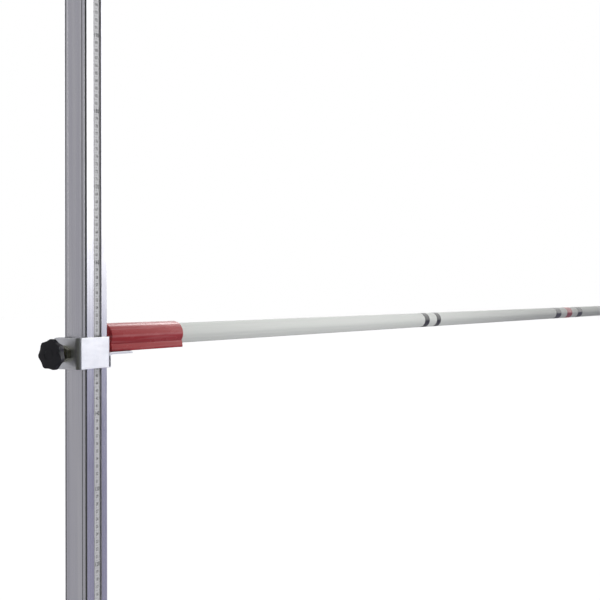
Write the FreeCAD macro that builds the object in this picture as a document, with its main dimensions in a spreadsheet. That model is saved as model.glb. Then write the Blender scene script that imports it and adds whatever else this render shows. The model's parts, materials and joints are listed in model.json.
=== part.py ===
import FreeCAD, Part
import math
import os
import re
import Sketcher

# High jump standards: two free-standing uprights and the crossbar that lies between them.
# The frame: +X runs along the crossbar, -Y faces the jumper, +Z is up, and the origin is
# on the floor, midway between the two uprights. All sizes are in millimetres.
# Each standard is drawn in a frame of its own, with the origin on the floor under its
# upright, +X towards the crossbar and +Z up, and then put in its place at either end.

doc = FreeCAD.newDocument("HighJumpStandards")
sheet = doc.addObject("Spreadsheet::Sheet", "Sizes")

SIZES = [
    # The crossbar and its two end pieces
    ("bar_length", 4000, "crossbar, end piece to end piece"),
    ("bar_diameter", 30, "outside of the glass fibre tube"),
    ("bar_wall", 2, "wall of the glass fibre tube"),
    ("bar_height", 1500, "axis of the crossbar above the floor"),
    ("bar_end_gap", 12, "from each end of the crossbar to the upright"),
    ("bar_offset", 1, "crossbar axis behind the middle of the upright"),
    ("end_piece_length", 158, "moulded end piece, along the bar"),
    ("end_round_radius", 18.3, "round upper part of the end piece"),
    ("end_base_width", 35, "flat that lies on the support"),
    ("end_base_drop", 20, "from the bar's axis down to that flat"),
    ("end_base_height", 8.5, "upright sides of the flat strip"),
    ("end_ledge_rise", 1.6, "slope from the strip up to the round part"),
    ("end_wall", 4, "closed end of the end piece"),
    ("end_nose", 14, "rounded upper corner where the bar leaves the end piece"),
    ("end_strip_edge", 1, "rounding of the strip's long lower edges"),
    ("end_tube_clearance", 0.05, "round the tube in the end piece"),
    ("bar_rest_gap", 0.2, "under the end piece as it lies on the support"),
    # The extruded upright, its tape and its cap
    ("post_width", 42, "upright, along the bar"),
    ("post_depth", 38, "upright, front to back"),
    ("post_top", 2450, "top of the upright above the floor"),
    ("post_wall", 2, "wall of the extrusion"),
    ("post_corner", 2, "rounding of the outer corners"),
    ("groove_width", 15, "tape groove in the front and back faces"),
    ("groove_depth", 2.4, "depth of the tape groove"),
    ("groove_shift", 1.5, "groove off the middle, towards the bar"),
    ("web_thickness", 2, "web between the two chambers"),
    ("band_near", 2.5, "shallow band in the side faces, from the corner"),
    ("band_width", 4.5, "width of that band"),
    ("band_depth", 0.4, "depth of that band"),
    ("port_size", 7, "thickened inner corner that holds a screw port"),
    ("port_radius", 1.6, "screw port"),
    ("port_inset", 4, "screw port from the outer faces"),
    ("tape_width", 13, "measuring tape"),
    ("tape_thickness", 0.4, "measuring tape"),
    ("tape_bottom", 400, "lower end of the tape above the floor"),
    ("tape_top_margin", 20, "tape ends this far below the top"),
    ("cap_thickness", 5, "cap of the upright"),
    ("cap_edge", 1.5, "rounding of the cap's top edge"),
    ("plug_depth", 14, "legs of the caps inside the tubes"),
    ("plug_clearance", 0.2, "round those legs"),
    ("plug_wall", 2, "wall of the hollow plugs in the base tubes"),
    ("least_radius", 0.5, "smallest inner radius of a bent or drawn corner"),
    # The welded base
    ("tube_width", 60, "base tube, flat side"),
    ("tube_height", 40, "base tube, upright side"),
    ("tube_wall", 2.5, "wall of the base tube"),
    ("tube_corner", 4, "outer corner of the base tube"),
    ("cross_length", 620, "tube under the upright, front to back"),
    ("spine_length", 400, "tube that runs outwards"),
    ("tube_cap_thickness", 3, "end caps of the base tubes"),
    ("socket_clearance", 0.3, "round the upright in its socket"),
    ("socket_wall", 3, "wall of the socket"),
    ("socket_height", 200, "socket above the base tube"),
    ("bolt_radius", 4, "bolts through the socket and upright"),
    ("bolt_clearance", 0.2, "round those bolts"),
    ("bolt_low", 138, "lower bolt above the base tube"),
    ("bolt_high", 178, "upper bolt above the base tube"),
    ("bolt_hex", 7.5, "corner radius of the bolt's head and nut"),
    ("bolt_head", 5.5, "height of the bolt's head"),
    ("bolt_nut", 6.8, "height of the bolt's nut"),
    ("bolt_end", 3, "bolt beyond its nut"),
    ("gusset_reach", 80, "gusset along the base tube"),
    ("gusset_rise", 115, "gusset up the socket"),
    ("gusset_thickness", 5, "gusset plate"),
    ("gusset_tip", 12, "blunt tips of the gusset"),
    # The levelling feet
    ("foot_inset", 34, "foot's axis from the end of its tube"),
    ("foot_travel", 18, "travel of a levelling screw"),
    ("foot_screw_radius", 6, "levelling screw"),
    ("foot_hex", 10.9, "corner radius of its head and lock nut"),
    ("foot_head", 8, "height of its head"),
    ("foot_lock_nut", 6, "height of its lock nut"),
    ("foot_head_gap", 2, "left above the lock nut at full travel"),
    ("foot_pad_radius", 24, "rubber foot on the floor"),
    ("foot_pad_top", 14, "rubber foot at its neck"),
    ("foot_pad_height", 16, "rubber foot"),
    ("foot_pad_skirt", 5, "straight lower edge of the rubber foot"),
    ("foot_socket_depth", 9, "screw's depth in the rubber foot"),
    ("bush_radius", 10, "threaded bush through the tube"),
    ("bush_flange", 14, "flange of the bush"),
    ("bush_lip", 2, "thickness of that flange"),
    ("screw_clearance", 0.05, "round each screw in its thread"),
    ("screw_lead", 1, "chamfer on the flange of the clamp nut"),
    ("stop_gap", 0.3, "between parts that stop against each other"),
    # The slider
    ("sheet", 2.5, "bent steel sheet of the sleeve"),
    ("bend_radius", 6, "outer bend radius of the sleeve"),
    ("sleeve_height", 41, "sleeve, bottom to top"),
    ("sleeve_rise", 1, "top of the sleeve above the bar's axis"),
    ("sleeve_clearance", 1.5, "sleeve to upright, front and back"),
    ("sleeve_fit", 0.3, "sleeve to upright, on the bar's side"),
    ("clamp_gap", 16, "sleeve to upright, on the knob's side"),
    ("seam_width", 1.2, "closed seam at the back of the sleeve"),
    ("seam_depth", 0.6, "closed seam at the back of the sleeve"),
    ("support_thickness", 3, "bar support, bent plate"),
    ("support_width", 40, "bar support, front to back"),
    ("support_reach", 52.5, "bar support from the upright's face"),
    ("support_bend", 3, "inner bend radius of the bar support"),
    ("support_leg", 20, "leg of the bar support below its top"),
    ("support_corner", 2, "rounded corners of the bar support"),
    ("weld_nut_radius", 11.5, "flange of the clamp nut on the sleeve"),
    ("weld_nut_flange", 3.5, "thickness of that flange"),
    ("weld_nut_spigot", 8.5, "radius of the nut in the sleeve's wall"),
    # The clamp
    ("clamp_screw_radius", 6, "clamp screw"),
    ("clamp_tip_radius", 4, "plain tip of the clamp screw"),
    ("clamp_tip_depth", 7, "tip inside the pressure pad"),
    ("clamp_travel", 2.625, "travel of the pressure pad, one and a half turns of the screw"),
    ("clamp_pad_width", 30, "pressure pad, front to back"),
    ("clamp_pad_height", 33, "pressure pad, bottom to top"),
    ("clamp_pad_gap", 0.1, "pressure pad to upright"),
    ("clamp_pad_edge", 2, "chamfer round the pressure pad's back"),
    ("knob_radius", 20, "star knob over its lobes"),
    ("knob_rim", 11, "thickness of the knob at its rim"),
    ("knob_dish", 2, "crown of the knob's outer face"),
    ("knob_lip", 5, "rim at full radius, before the back draws in to the hub"),
    ("knob_edge", 2.5, "rounding of the knob's rim at its outer face"),
    ("knob_back_edge", 1.2, "rounding of the knob's rim at its back"),
    ("knob_turned", 20, "degrees, how far the knob is turned from a hollow at its top"),
    ("knob_setback", 18, "rim of the knob from the sleeve"),
    ("knob_hub_radius", 9.5, "hub behind the rim"),
    ("knob_hub", 4, "length of that hub"),
    ("knob_screw_depth", 9, "clamp screw inside the knob"),
    ("knob_lobes", 7, "lobes of the star knob"),
    ("scallop_radius", 10, "hollow between two lobes"),
    ("scallop_depth", 2.3, "how far a hollow cuts into the rim"),
    ("insert_radius", 7, "metal insert moulded into the knob"),
]

NAMES = set()
for row, (alias, value, meaning) in enumerate(SIZES, start=1):
    sheet.set("A%d" % row, meaning)
    sheet.set("B%d" % row, str(value))
    sheet.setAlias("B%d" % row, alias)
    NAMES.add(alias)
doc.recompute()

UP = FreeCAD.Vector(0, 0, 1)
ACROSS = FreeCAD.Vector(0, 1, 0)
ALONG = FreeCAD.Vector(1, 0, 0)
NODES = []
NEARNESS = 0.01
PARALLEL = 1e-6


def bound(expression):
    """Point every size named in an expression at its cell in the table of sizes."""
    return re.sub(r"[a-z_]+", lambda word: "Sizes." + word[0] if word[0] in NAMES else word[0], expression)


def number(expression):
    """The value of an expression of named sizes."""
    return float(sheet.evalExpression(bound(expression)))


def tie(thing, prop, expression):
    thing.setExpression(prop, bound(expression))


# Places that several pieces share, all from the named sizes
TUBE_BOTTOM = "(foot_pad_height + stop_gap + bush_lip)"
TUBE_TOP = "(%s + tube_height)" % TUBE_BOTTOM
TUBE_INNER_CORNER = "max(tube_corner - tube_wall; least_radius)"
POST_LINE = "(bar_length / 2 + bar_end_gap + post_width / 2)"
SLEEVE_TOP = "(bar_height + sleeve_rise)"
SLEEVE_BOTTOM = "(%s - sleeve_height)" % SLEEVE_TOP
SLEEVE_IN = "(post_width / 2 + sleeve_fit + sheet)"
SLEEVE_OUT = "(post_width / 2 + clamp_gap + sheet)"
SLEEVE_DEPTH = "(post_depth / 2 + sleeve_clearance + sheet)"
SUPPORT_TOP = "(bar_height - end_base_drop - bar_rest_gap)"
CLAMP_HEIGHT = "(%s - sleeve_height / 2)" % SLEEVE_TOP
CROSS_FOOT = "(cross_length / 2 - foot_inset)"
SPINE_END = "(tube_width / 2 + spine_length)"
SPINE_FOOT = "(%s - foot_inset)" % SPINE_END


def new_body(name):
    return doc.addObject("PartDesign::Body", name)


def new_sketch(body, name, role, lift="0"):
    """A sketch on one of the body's own origin planes, lifted along the plane's normal."""
    sketch = body.newObject("Sketcher::SketchObject", body.Name + "_" + name)
    plane = [item for item in body.Origin.OriginFeatures if item.Role == role][0]
    sketch.AttachmentSupport = (plane, [""])
    sketch.MapMode = "FlatFace"
    if lift != "0":
        tie(sketch, "AttachmentOffset.Base.z", lift)
    return sketch


def pin_point(sketch, geometry, vertex, point):
    """Fix one sketch point by two distances from the origin, each bound to its expression."""
    for kind, expression in (("DistanceX", point[0]), ("DistanceY", point[1])):
        rule = Sketcher.Constraint(kind, -1, 1, geometry, vertex, number(expression))
        index = sketch.addConstraint(rule)
        tie(sketch, "Constraints[%d]" % index, expression)


def outline(sketch, points):
    """A closed outline of straight lines through points written as expressions."""
    places = [FreeCAD.Vector(number(x), number(y), 0) for x, y in points]
    first = len(sketch.Geometry)
    count = len(points)
    for step in range(count):
        line = Part.LineSegment(places[step], places[(step + 1) % count])
        sketch.addGeometry(line, False)
    for step in range(count):
        following = first + (step + 1) % count
        sketch.addConstraint(Sketcher.Constraint("Coincident", first + step, 2, following, 1))
        pin_point(sketch, first + step, 1, points[step])


def rectangle(sketch, x_low, y_low, x_high, y_high):
    outline(sketch, [(x_low, y_low), (x_high, y_low), (x_high, y_high), (x_low, y_high)])


def circle(sketch, x, y, radius):
    centre = FreeCAD.Vector(number(x), number(y), 0)
    index = sketch.addGeometry(Part.Circle(centre, FreeCAD.Vector(0, 0, 1), number(radius)), False)
    pin_point(sketch, index, 3, (x, y))
    rule = sketch.addConstraint(Sketcher.Constraint("Radius", index, number(radius)))
    tie(sketch, "Constraints[%d]" % rule, radius)


def pad(body, sketch, length, name="pad", symmetric=False):
    feature = body.newObject("PartDesign::Pad", body.Name + "_" + name)
    feature.Profile = sketch
    if symmetric:
        feature.SideType = "Symmetric"
    tie(feature, "Length", length)
    doc.recompute()
    return feature


def cut(body, sketch, length, name, symmetric=False, along_normal=False):
    """A pocket that has to take material away."""
    before = body.Shape.Volume
    feature = body.newObject("PartDesign::Pocket", body.Name + "_" + name)
    feature.Profile = sketch
    if symmetric:
        feature.SideType = "Symmetric"
    feature.Reversed = along_normal
    tie(feature, "Length", length)
    doc.recompute()
    if not body.Shape.Volume < before:
        raise RuntimeError(feature.Name + " cuts nothing")
    return feature


def turn(body, sketch, kind="Revolution", axis="V_Axis"):
    feature = body.newObject("PartDesign::" + kind, body.Name + "_" + kind.lower())
    feature.Profile = sketch
    feature.ReferenceAxis = (sketch, [axis])
    feature.Angle = 360
    doc.recompute()
    return feature


def straight_edges(shape, direction, test):
    """Names of the straight edges along a direction whose middle passes a test."""
    names = []
    for index, edge in enumerate(shape.Edges, start=1):
        if edge.Curve.TypeId != "Part::GeomLine":
            continue
        if 1 - abs(edge.tangentAt(edge.FirstParameter).dot(direction)) > PARALLEL:
            continue
        if test(edge.BoundBox.Center):
            names.append("Edge%d" % index)
    return names


def soften(body, edges, radius, name="rounding", kind="Fillet"):
    """A fillet or chamfer on named edges of the body's last feature."""
    base = body.Tip
    feature = body.newObject("PartDesign::" + kind, body.Name + "_" + name)
    feature.Base = (base, edges)
    tie(feature, "Radius" if kind == "Fillet" else "Size", radius)
    doc.recompute()
    return feature


def near(value, expression):
    return abs(value - number(expression)) < NEARNESS


def node(thing, name):
    """Name a piece as one node of the assembly."""
    thing.Label = name
    NODES.append(thing)
    return thing


class Side:
    """One end of the crossbar: its name, and the sign of X where its upright stands."""

    def __init__(self, name, sign):
        self.name = name
        self.sign = sign
        self.spin = FreeCAD.Rotation(UP, 0 if sign < 0 else 180)


def place(thing, side, x="0", y="0", z="0", rotation=None):
    """Move a piece from its standard's own frame to where it stands."""
    spin = side.spin
    if rotation is not None:
        spin = side.spin.multiply(rotation)
    thing.Placement = FreeCAD.Placement(FreeCAD.Vector(), spin)
    tie(thing, "Placement.Base.x", "%d * (%s - (%s))" % (side.sign, POST_LINE, x))
    tie(thing, "Placement.Base.y", "%d * (%s)" % (-side.sign, y))
    tie(thing, "Placement.Base.z", z)


def new_box(name, length, width, height):
    box = doc.addObject("Part::Box", name)
    tie(box, "Length", length)
    tie(box, "Width", width)
    tie(box, "Height", height)
    return box


def new_rod(name, radius, height, x="0", y="0", z="0"):
    rod = doc.addObject("Part::Cylinder", name)
    tie(rod, "Radius", radius)
    tie(rod, "Height", height)
    tie(rod, "Placement.Base.x", x)
    tie(rod, "Placement.Base.y", y)
    tie(rod, "Placement.Base.z", z)
    return rod


def new_hexagon(name, corner_radius, height, z="0"):
    prism = doc.addObject("Part::Prism", name)
    prism.Polygon = 6
    tie(prism, "Circumradius", corner_radius)
    tie(prism, "Height", height)
    tie(prism, "Placement.Base.z", z)
    return prism


def fuse(name, pieces):
    result = doc.addObject("Part::MultiFuse", name)
    result.Shapes = pieces
    return result


def take(name, base, tool):
    result = doc.addObject("Part::Cut", name)
    result.Base = base
    result.Tool = tool
    return result


def group(name, pieces):
    """Like pieces that share a node, each still a solid of its own."""
    result = doc.addObject("Part::Compound", name)
    result.Links = pieces
    return result


# The upright: an aluminium extrusion with a tape groove in its front and back faces
def chamber(sign):
    """Outline of one hollow, drawn on the +X side of the web or mirrored to the other."""
    web = "%d * web_thickness / 2" % sign
    step = "(groove_shift + %d * (groove_width / 2 + post_wall))" % sign
    wall = "%d * (post_width / 2 - post_wall)" % sign
    port = "%d * (post_width / 2 - post_wall - port_size)" % sign
    floor = "(post_depth / 2 - groove_depth - post_wall)"
    skin = "(post_depth / 2 - post_wall)"
    half = [(web, floor), (step, floor), (step, skin), (port, skin), (wall, skin + " - port_size")]
    mirrored = [(x, "-(%s)" % y) for x, y in reversed(half)]
    return half + mirrored


def extrusion_outline():
    """The outer outline, corner by corner, with the grooves and the shallow side bands."""
    side = "post_width / 2"
    face = "post_depth / 2"
    low = "%s - band_near - band_width" % face
    high = "%s - band_near" % face
    corner = [
        (side, low),
        ("%s - band_depth" % side, low + " + band_depth"),
        ("%s - band_depth" % side, high + " - band_depth"),
        (side, high),
        (side, face),
    ]
    points = []
    for x_sign, y_sign in ((1, 1), (-1, 1), (-1, -1), (1, -1)):
        quarter = [("%d * (%s)" % (x_sign, x), "%d * (%s)" % (y_sign, y)) for x, y in corner]
        lip = "groove_shift + %d * groove_width / 2" % x_sign
        quarter.append((lip, "%d * (%s)" % (y_sign, face)))
        quarter.append((lip, "%d * (%s - groove_depth)" % (y_sign, face)))
        if x_sign * y_sign < 0:
            quarter.reverse()
        points += quarter
    return points


def build_upright(side):
    body = new_body(side.name + "_upright_body")
    section = new_sketch(body, "section", "XY_Plane", TUBE_TOP)
    outline(section, extrusion_outline())
    outline(section, chamber(1))
    outline(section, chamber(-1))
    for x_sign in (1, -1):
        for y_sign in (1, -1):
            port_x = "%d * (post_width / 2 - port_inset)" % x_sign
            port_y = "%d * (post_depth / 2 - port_inset)" % y_sign
            circle(section, port_x, port_y, "port_radius")
    pad(body, section, "post_top - %s" % TUBE_TOP)
    corners = straight_edges(body.Shape, UP, lambda middle: near(abs(middle.x), "post_width / 2")
                             and near(abs(middle.y), "post_depth / 2"))
    soften(body, corners, "post_corner")
    drill_socket_holes(body)
    place(body, side)
    node(body, side.name + "_upright")


def drill_socket_holes(body):
    """The two bolt holes that run through the socket and the upright, along the bar."""
    holes = new_sketch(body, "bolt_holes", "YZ_Plane")
    for height in ("bolt_low", "bolt_high"):
        circle(holes, "0", "%s + %s" % (TUBE_TOP, height), "bolt_radius + bolt_clearance")
    cut(body, holes, "2 * post_width", "bolt_hole", symmetric=True)


def build_tape(side):
    """The tape lies on the floor of the front groove, which faces the jumper on both sides."""
    tape = new_box(side.name + "_tape", "tape_width", "tape_thickness", "post_top - tape_top_margin - tape_bottom")
    floor = "(post_depth / 2 - groove_depth)"
    front = "-%s - tape_thickness" % floor if side.sign < 0 else floor
    place(tape, side, "groove_shift - tape_width / 2", front, "tape_bottom")
    node(tape, side.name + "_height_tape")


def build_upright_cap(side):
    """A moulded cap: a plate with a softened edge, and a leg in each chamber."""
    body = new_body(side.name + "_cap_body")
    plate = new_sketch(body, "plate", "XY_Plane")
    rectangle(plate, "-post_width / 2", "-post_depth / 2", "post_width / 2", "post_depth / 2")
    pad(body, plate, "cap_thickness")
    corners = straight_edges(body.Shape, UP, lambda middle: True)
    soften(body, corners, "post_corner", "corners")
    top = straight_edges(body.Shape, ALONG, lambda middle: near(middle.z, "cap_thickness"))
    soften(body, top, "cap_edge", "edge")
    legs = new_sketch(body, "legs", "XY_Plane", "-plug_depth")
    inner = "(post_depth / 2 - groove_depth - post_wall - plug_clearance)"
    step_in = "(groove_width / 2 + post_wall)"
    rectangle(legs, "web_thickness / 2 + plug_clearance", "-" + inner,
              "groove_shift + " + step_in, inner)
    rectangle(legs, "groove_shift - " + step_in, "-" + inner,
              "-web_thickness / 2 - plug_clearance", inner)
    pad(body, legs, "plug_depth", "legs_pad")
    place(body, side, z="post_top")
    node(body, side.name + "_upright_cap")


# The base: a cross tube under the upright, a spine tube outwards, a socket and gussets
def tube_section(body, role, lift):
    """Outer and inner rectangle of a base tube, at the tubes' common height."""
    section = new_sketch(body, "section", role, lift)
    middle = "(%s + tube_height / 2)" % TUBE_BOTTOM
    for inset in ("0", "tube_wall"):
        half_width = "(tube_width / 2 - %s)" % inset
        half_height = "(tube_height / 2 - %s)" % inset
        rectangle(section, "-" + half_width, "%s - %s" % (middle, half_height),
                  half_width, "%s + %s" % (middle, half_height))
    return section


def round_tube_corners(body, direction):
    outer = straight_edges(body.Shape, direction, lambda middle: near(middle.z, TUBE_TOP)
                           or near(middle.z, TUBE_BOTTOM))
    soften(body, outer, "tube_corner", "outer_corners")
    low = "%s + tube_wall" % TUBE_BOTTOM
    high = "%s - tube_wall" % TUBE_TOP
    inner = straight_edges(body.Shape, direction, lambda middle: near(middle.z, low) or near(middle.z, high))
    soften(body, inner, TUBE_INNER_CORNER, "inner_corners")


def bush_holes(body, places):
    """Holes through both walls of a base tube for the threaded bushes."""
    holes = new_sketch(body, "bush_holes", "XY_Plane", TUBE_BOTTOM + " - bush_lip")
    for x, y in places:
        circle(holes, x, y, "bush_radius")
    cut(body, holes, "tube_height + 2 * bush_lip", "bush_hole", along_normal=True)


def build_base_tubes(side):
    cross = new_body(side.name + "_cross_body")
    section = tube_section(cross, "XZ_Plane", "-cross_length / 2")
    pad(cross, section, "cross_length")
    round_tube_corners(cross, ACROSS)
    bush_holes(cross, [("0", CROSS_FOOT), ("0", "-" + CROSS_FOOT)])
    place(cross, side)
    node(cross, side.name + "_cross_tube")

    spine = new_body(side.name + "_spine_body")
    section = tube_section(spine, "YZ_Plane", "-" + SPINE_END)
    pad(spine, section, "spine_length")
    round_tube_corners(spine, ALONG)
    bush_holes(spine, [("-" + SPINE_FOOT, "0")])
    place(spine, side)
    node(spine, side.name + "_spine_tube")


def build_socket(side):
    """A short rectangular tube, welded upright on the cross tube."""
    body = new_body(side.name + "_socket_body")
    section = new_sketch(body, "section", "XY_Plane", TUBE_TOP)
    for wall in ("socket_clearance", "socket_clearance + socket_wall"):
        half_width = "(post_width / 2 + %s)" % wall
        half_depth = "(post_depth / 2 + %s)" % wall
        rectangle(section, "-" + half_width, "-" + half_depth, half_width, half_depth)
    pad(body, section, "socket_height")
    reach = "post_width / 2 + socket_clearance + socket_wall"
    corners = straight_edges(body.Shape, UP, lambda middle: near(abs(middle.x), reach))
    soften(body, corners, "socket_wall")
    drill_socket_holes(body)
    place(body, side)
    node(body, side.name + "_post_socket")


def gusset(name, foot):
    """A triangular plate with blunt tips, in the XZ plane, its upright edge at x = -foot."""
    body = new_body(name)
    shape = new_sketch(body, "shape", "XZ_Plane")
    outline(shape, [
        ("-(%s)" % foot, TUBE_TOP),
        ("-(%s)" % foot, "%s + gusset_rise" % TUBE_TOP),
        ("-(%s) - gusset_tip" % foot, "%s + gusset_rise" % TUBE_TOP),
        ("-(%s) - gusset_reach" % foot, "%s + gusset_tip" % TUBE_TOP),
        ("-(%s) - gusset_reach" % foot, TUBE_TOP),
    ])
    pad(body, shape, "gusset_thickness", symmetric=True)
    return body


def build_gussets(side):
    """Three gussets: one on the spine, and one at the front and the back of the socket."""
    outward = "post_width / 2 + socket_clearance + socket_wall"
    sideways = "post_depth / 2 + socket_clearance + socket_wall"
    spine_gusset = gusset(side.name + "_gusset_spine", outward)
    front_gusset = gusset(side.name + "_gusset_front", sideways)
    back_gusset = gusset(side.name + "_gusset_back", sideways)
    front_gusset.Placement = FreeCAD.Placement(FreeCAD.Vector(), FreeCAD.Rotation(UP, 90))
    back_gusset.Placement = FreeCAD.Placement(FreeCAD.Vector(), FreeCAD.Rotation(UP, -90))
    plates = group(side.name + "_gussets", [spine_gusset, front_gusset, back_gusset])
    place(plates, side)
    node(plates, side.name + "_base_gussets")


def tube_cap(name):
    """An end cap of a base tube: a plate with a rounded rim and a hollow plug behind it."""
    body = new_body(name)
    middle = "(%s + tube_height / 2)" % TUBE_BOTTOM
    plate = new_sketch(body, "plate", "YZ_Plane")
    rectangle(plate, "-tube_width / 2", "%s - tube_height / 2" % middle,
              "tube_width / 2", "%s + tube_height / 2" % middle)
    pad(body, plate, "tube_cap_thickness")
    corners = straight_edges(body.Shape, ALONG, lambda place: True)
    soften(body, corners, "tube_corner", "corners")
    plug = new_sketch(body, "plug", "YZ_Plane", "-plug_depth")
    for inset in ("tube_wall + plug_clearance", "tube_wall + plug_clearance + plug_wall"):
        half_width = "(tube_width / 2 - (%s))" % inset
        half_height = "(tube_height / 2 - (%s))" % inset
        rectangle(plug, "-" + half_width, "%s - %s" % (middle, half_height),
                  half_width, "%s + %s" % (middle, half_height))
    pad(body, plug, "plug_depth", "plug_pad")
    edge = "tube_wall + plug_clearance"
    outer = straight_edges(body.Shape, ALONG, lambda place: place.x < 0
                           and near(abs(place.y), "tube_width / 2 - (%s)" % edge))
    soften(body, outer, TUBE_INNER_CORNER, "plug_corners")
    return body


def build_tube_caps(side):
    places = [("-" + SPINE_END, "0", 180), ("0", "cross_length / 2", 90), ("0", "-cross_length / 2", -90)]
    caps = []
    for index, (x, y, angle) in enumerate(places, start=1):
        cap = tube_cap("%s_tube_cap_%d" % (side.name, index))
        cap.Placement = FreeCAD.Placement(FreeCAD.Vector(), FreeCAD.Rotation(UP, angle))
        tie(cap, "Placement.Base.x", x)
        tie(cap, "Placement.Base.y", y)
        caps.append(cap)
    caps = group(side.name + "_tube_caps_group", caps)
    place(caps, side)
    node(caps, side.name + "_tube_end_caps")


def build_socket_bolts(side):
    """Two hexagon bolts along the bar, heads outside, and their nuts on the bar's side."""
    outside = "(post_width / 2 + socket_clearance + socket_wall)"
    lie_down = FreeCAD.Rotation(ACROSS, 90)
    bolts = []
    nuts = []
    for index, height in enumerate(("bolt_low", "bolt_high"), start=1):
        tag = "%s_%d" % (side.name, index)
        head = new_hexagon(tag + "_bolt_head", "bolt_hex", "bolt_head", "-bolt_head")
        shank = new_rod(tag + "_bolt_shank", "bolt_radius", "2 * %s + bolt_nut + bolt_end" % outside)
        bolt = fuse(tag + "_bolt", [head, shank])
        blank = new_hexagon(tag + "_nut_blank", "bolt_hex", "bolt_nut")
        nut = take(tag + "_nut", blank, new_rod(tag + "_nut_bore", "bolt_radius", "bolt_nut"))
        for piece, x in ((bolt, "-" + outside), (nut, outside)):
            piece.Placement = FreeCAD.Placement(FreeCAD.Vector(), lie_down)
            tie(piece, "Placement.Base.x", x)
            tie(piece, "Placement.Base.z", "%s + %s" % (TUBE_TOP, height))
        bolts.append(bolt)
        nuts.append(nut)
    for label, pieces in (("socket_bolts", bolts), ("socket_nuts", nuts)):
        gathered = group("%s_%s_group" % (side.name, label), pieces)
        place(gathered, side)
        node(gathered, "%s_%s" % (side.name, label))


def feet_of(side):
    """Name and place of each foot. The front foot faces the jumper on both standards."""
    front = "%d * %s" % (side.sign, CROSS_FOOT)
    back = "%d * %s" % (-side.sign, CROSS_FOOT)
    return [("front", "0", front), ("back", "0", back), ("outer", "-" + SPINE_FOOT, "0")]


def foot_bush(name):
    """A threaded bush through the tube, with a flange under it and one on top."""
    body = new_body(name)
    profile = new_sketch(body, "profile", "XZ_Plane")
    bore = "foot_screw_radius + screw_clearance"
    outline(profile, [
        (bore, "-bush_lip"), ("bush_flange", "-bush_lip"), ("bush_flange", "0"), ("bush_radius", "0"),
        ("bush_radius", "tube_height"), ("bush_flange", "tube_height"),
        ("bush_flange", "tube_height + bush_lip"), (bore, "tube_height + bush_lip"),
    ])
    turn(body, profile)
    return body


def build_foot_hardware(side):
    """The bushes and lock nuts stay on the tubes while the screws move through them."""
    bushes = []
    nuts = []
    for foot, x, y in feet_of(side):
        tag = "%s_%s" % (side.name, foot)
        bush = foot_bush(tag + "_bush")
        blank = new_hexagon(tag + "_lock_blank", "foot_hex", "foot_lock_nut")
        bore = new_rod(tag + "_lock_bore", "foot_screw_radius + screw_clearance", "foot_lock_nut")
        nut = take(tag + "_lock_nut", blank, bore)
        for piece, z in ((bush, TUBE_BOTTOM), (nut, "%s + bush_lip" % TUBE_TOP)):
            tie(piece, "Placement.Base.x", x)
            tie(piece, "Placement.Base.y", y)
            tie(piece, "Placement.Base.z", z)
        bushes.append(bush)
        nuts.append(nut)
    for label, pieces in (("foot_bushes", bushes), ("foot_lock_nuts", nuts)):
        gathered = group("%s_%s_group" % (side.name, label), pieces)
        place(gathered, side)
        node(gathered, "%s_%s" % (side.name, label))


def build_feet(side):
    """Each levelling foot is a rubber foot on the end of a hexagon-headed screw."""
    for foot, x, y in feet_of(side):
        tag = "%s_%s" % (side.name, foot)
        rubber = new_body(tag + "_rubber")
        profile = new_sketch(rubber, "profile", "XZ_Plane")
        pocket_floor = "foot_pad_height - foot_socket_depth"
        outline(profile, [
            ("0", "0"), ("foot_pad_radius", "0"), ("foot_pad_radius", "foot_pad_skirt"),
            ("foot_pad_top", "foot_pad_height - bush_lip"), ("foot_pad_top", "foot_pad_height"),
            ("foot_screw_radius", "foot_pad_height"), ("foot_screw_radius", pocket_floor),
            ("0", pocket_floor),
        ])
        turn(rubber, profile)
        place(rubber, side, x, y)
        node(rubber, tag + "_foot_pad")

        head_base = "%s + bush_lip + foot_lock_nut + foot_head_gap + foot_travel" % TUBE_TOP
        shank_length = "%s - (%s)" % (head_base, pocket_floor)
        shank = new_rod(tag + "_shank", "foot_screw_radius", shank_length, z=pocket_floor)
        head = new_hexagon(tag + "_head", "foot_hex", "foot_head", head_base)
        screw = fuse(tag + "_screw", [shank, head])
        place(screw, side, x, y)
        node(screw, tag + "_foot_screw")


# The slider: a bent sleeve, the support for the bar and the nut of the clamp
def build_sleeve(side):
    body = new_body(side.name + "_sleeve_body")
    section = new_sketch(body, "section", "XY_Plane", SLEEVE_BOTTOM)
    for inset in ("0", "sheet"):
        depth = "(%s - %s)" % (SLEEVE_DEPTH, inset)
        rectangle(section, "-(%s - %s)" % (SLEEVE_OUT, inset), "-" + depth,
                  "%s - %s" % (SLEEVE_IN, inset), depth)
    pad(body, section, "sleeve_height")
    bends = straight_edges(body.Shape, UP, lambda middle: near(abs(middle.y), SLEEVE_DEPTH))
    soften(body, bends, "bend_radius", "outer_bends")
    inner_depth = "%s - sheet" % SLEEVE_DEPTH
    inner = straight_edges(body.Shape, UP, lambda middle: near(abs(middle.y), inner_depth))
    soften(body, inner, "max(bend_radius - sheet; least_radius)", "inner_bends")
    hole = new_sketch(body, "nut_hole", "YZ_Plane", "-%s - sheet" % SLEEVE_OUT)
    circle(hole, "0", CLAMP_HEIGHT, "weld_nut_spigot")
    cut(body, hole, "3 * sheet", "nut_hole_cut", along_normal=True)
    seam = new_sketch(body, "seam", "XY_Plane", SLEEVE_BOTTOM)
    rectangle(seam, "-seam_width / 2", "%s - seam_depth" % SLEEVE_DEPTH,
              "seam_width / 2", "%s + seam_depth" % SLEEVE_DEPTH)
    cut(body, seam, "sleeve_height", "seam_cut", along_normal=True)
    place(body, side)
    node(body, side.name + "_sleeve")


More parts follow.
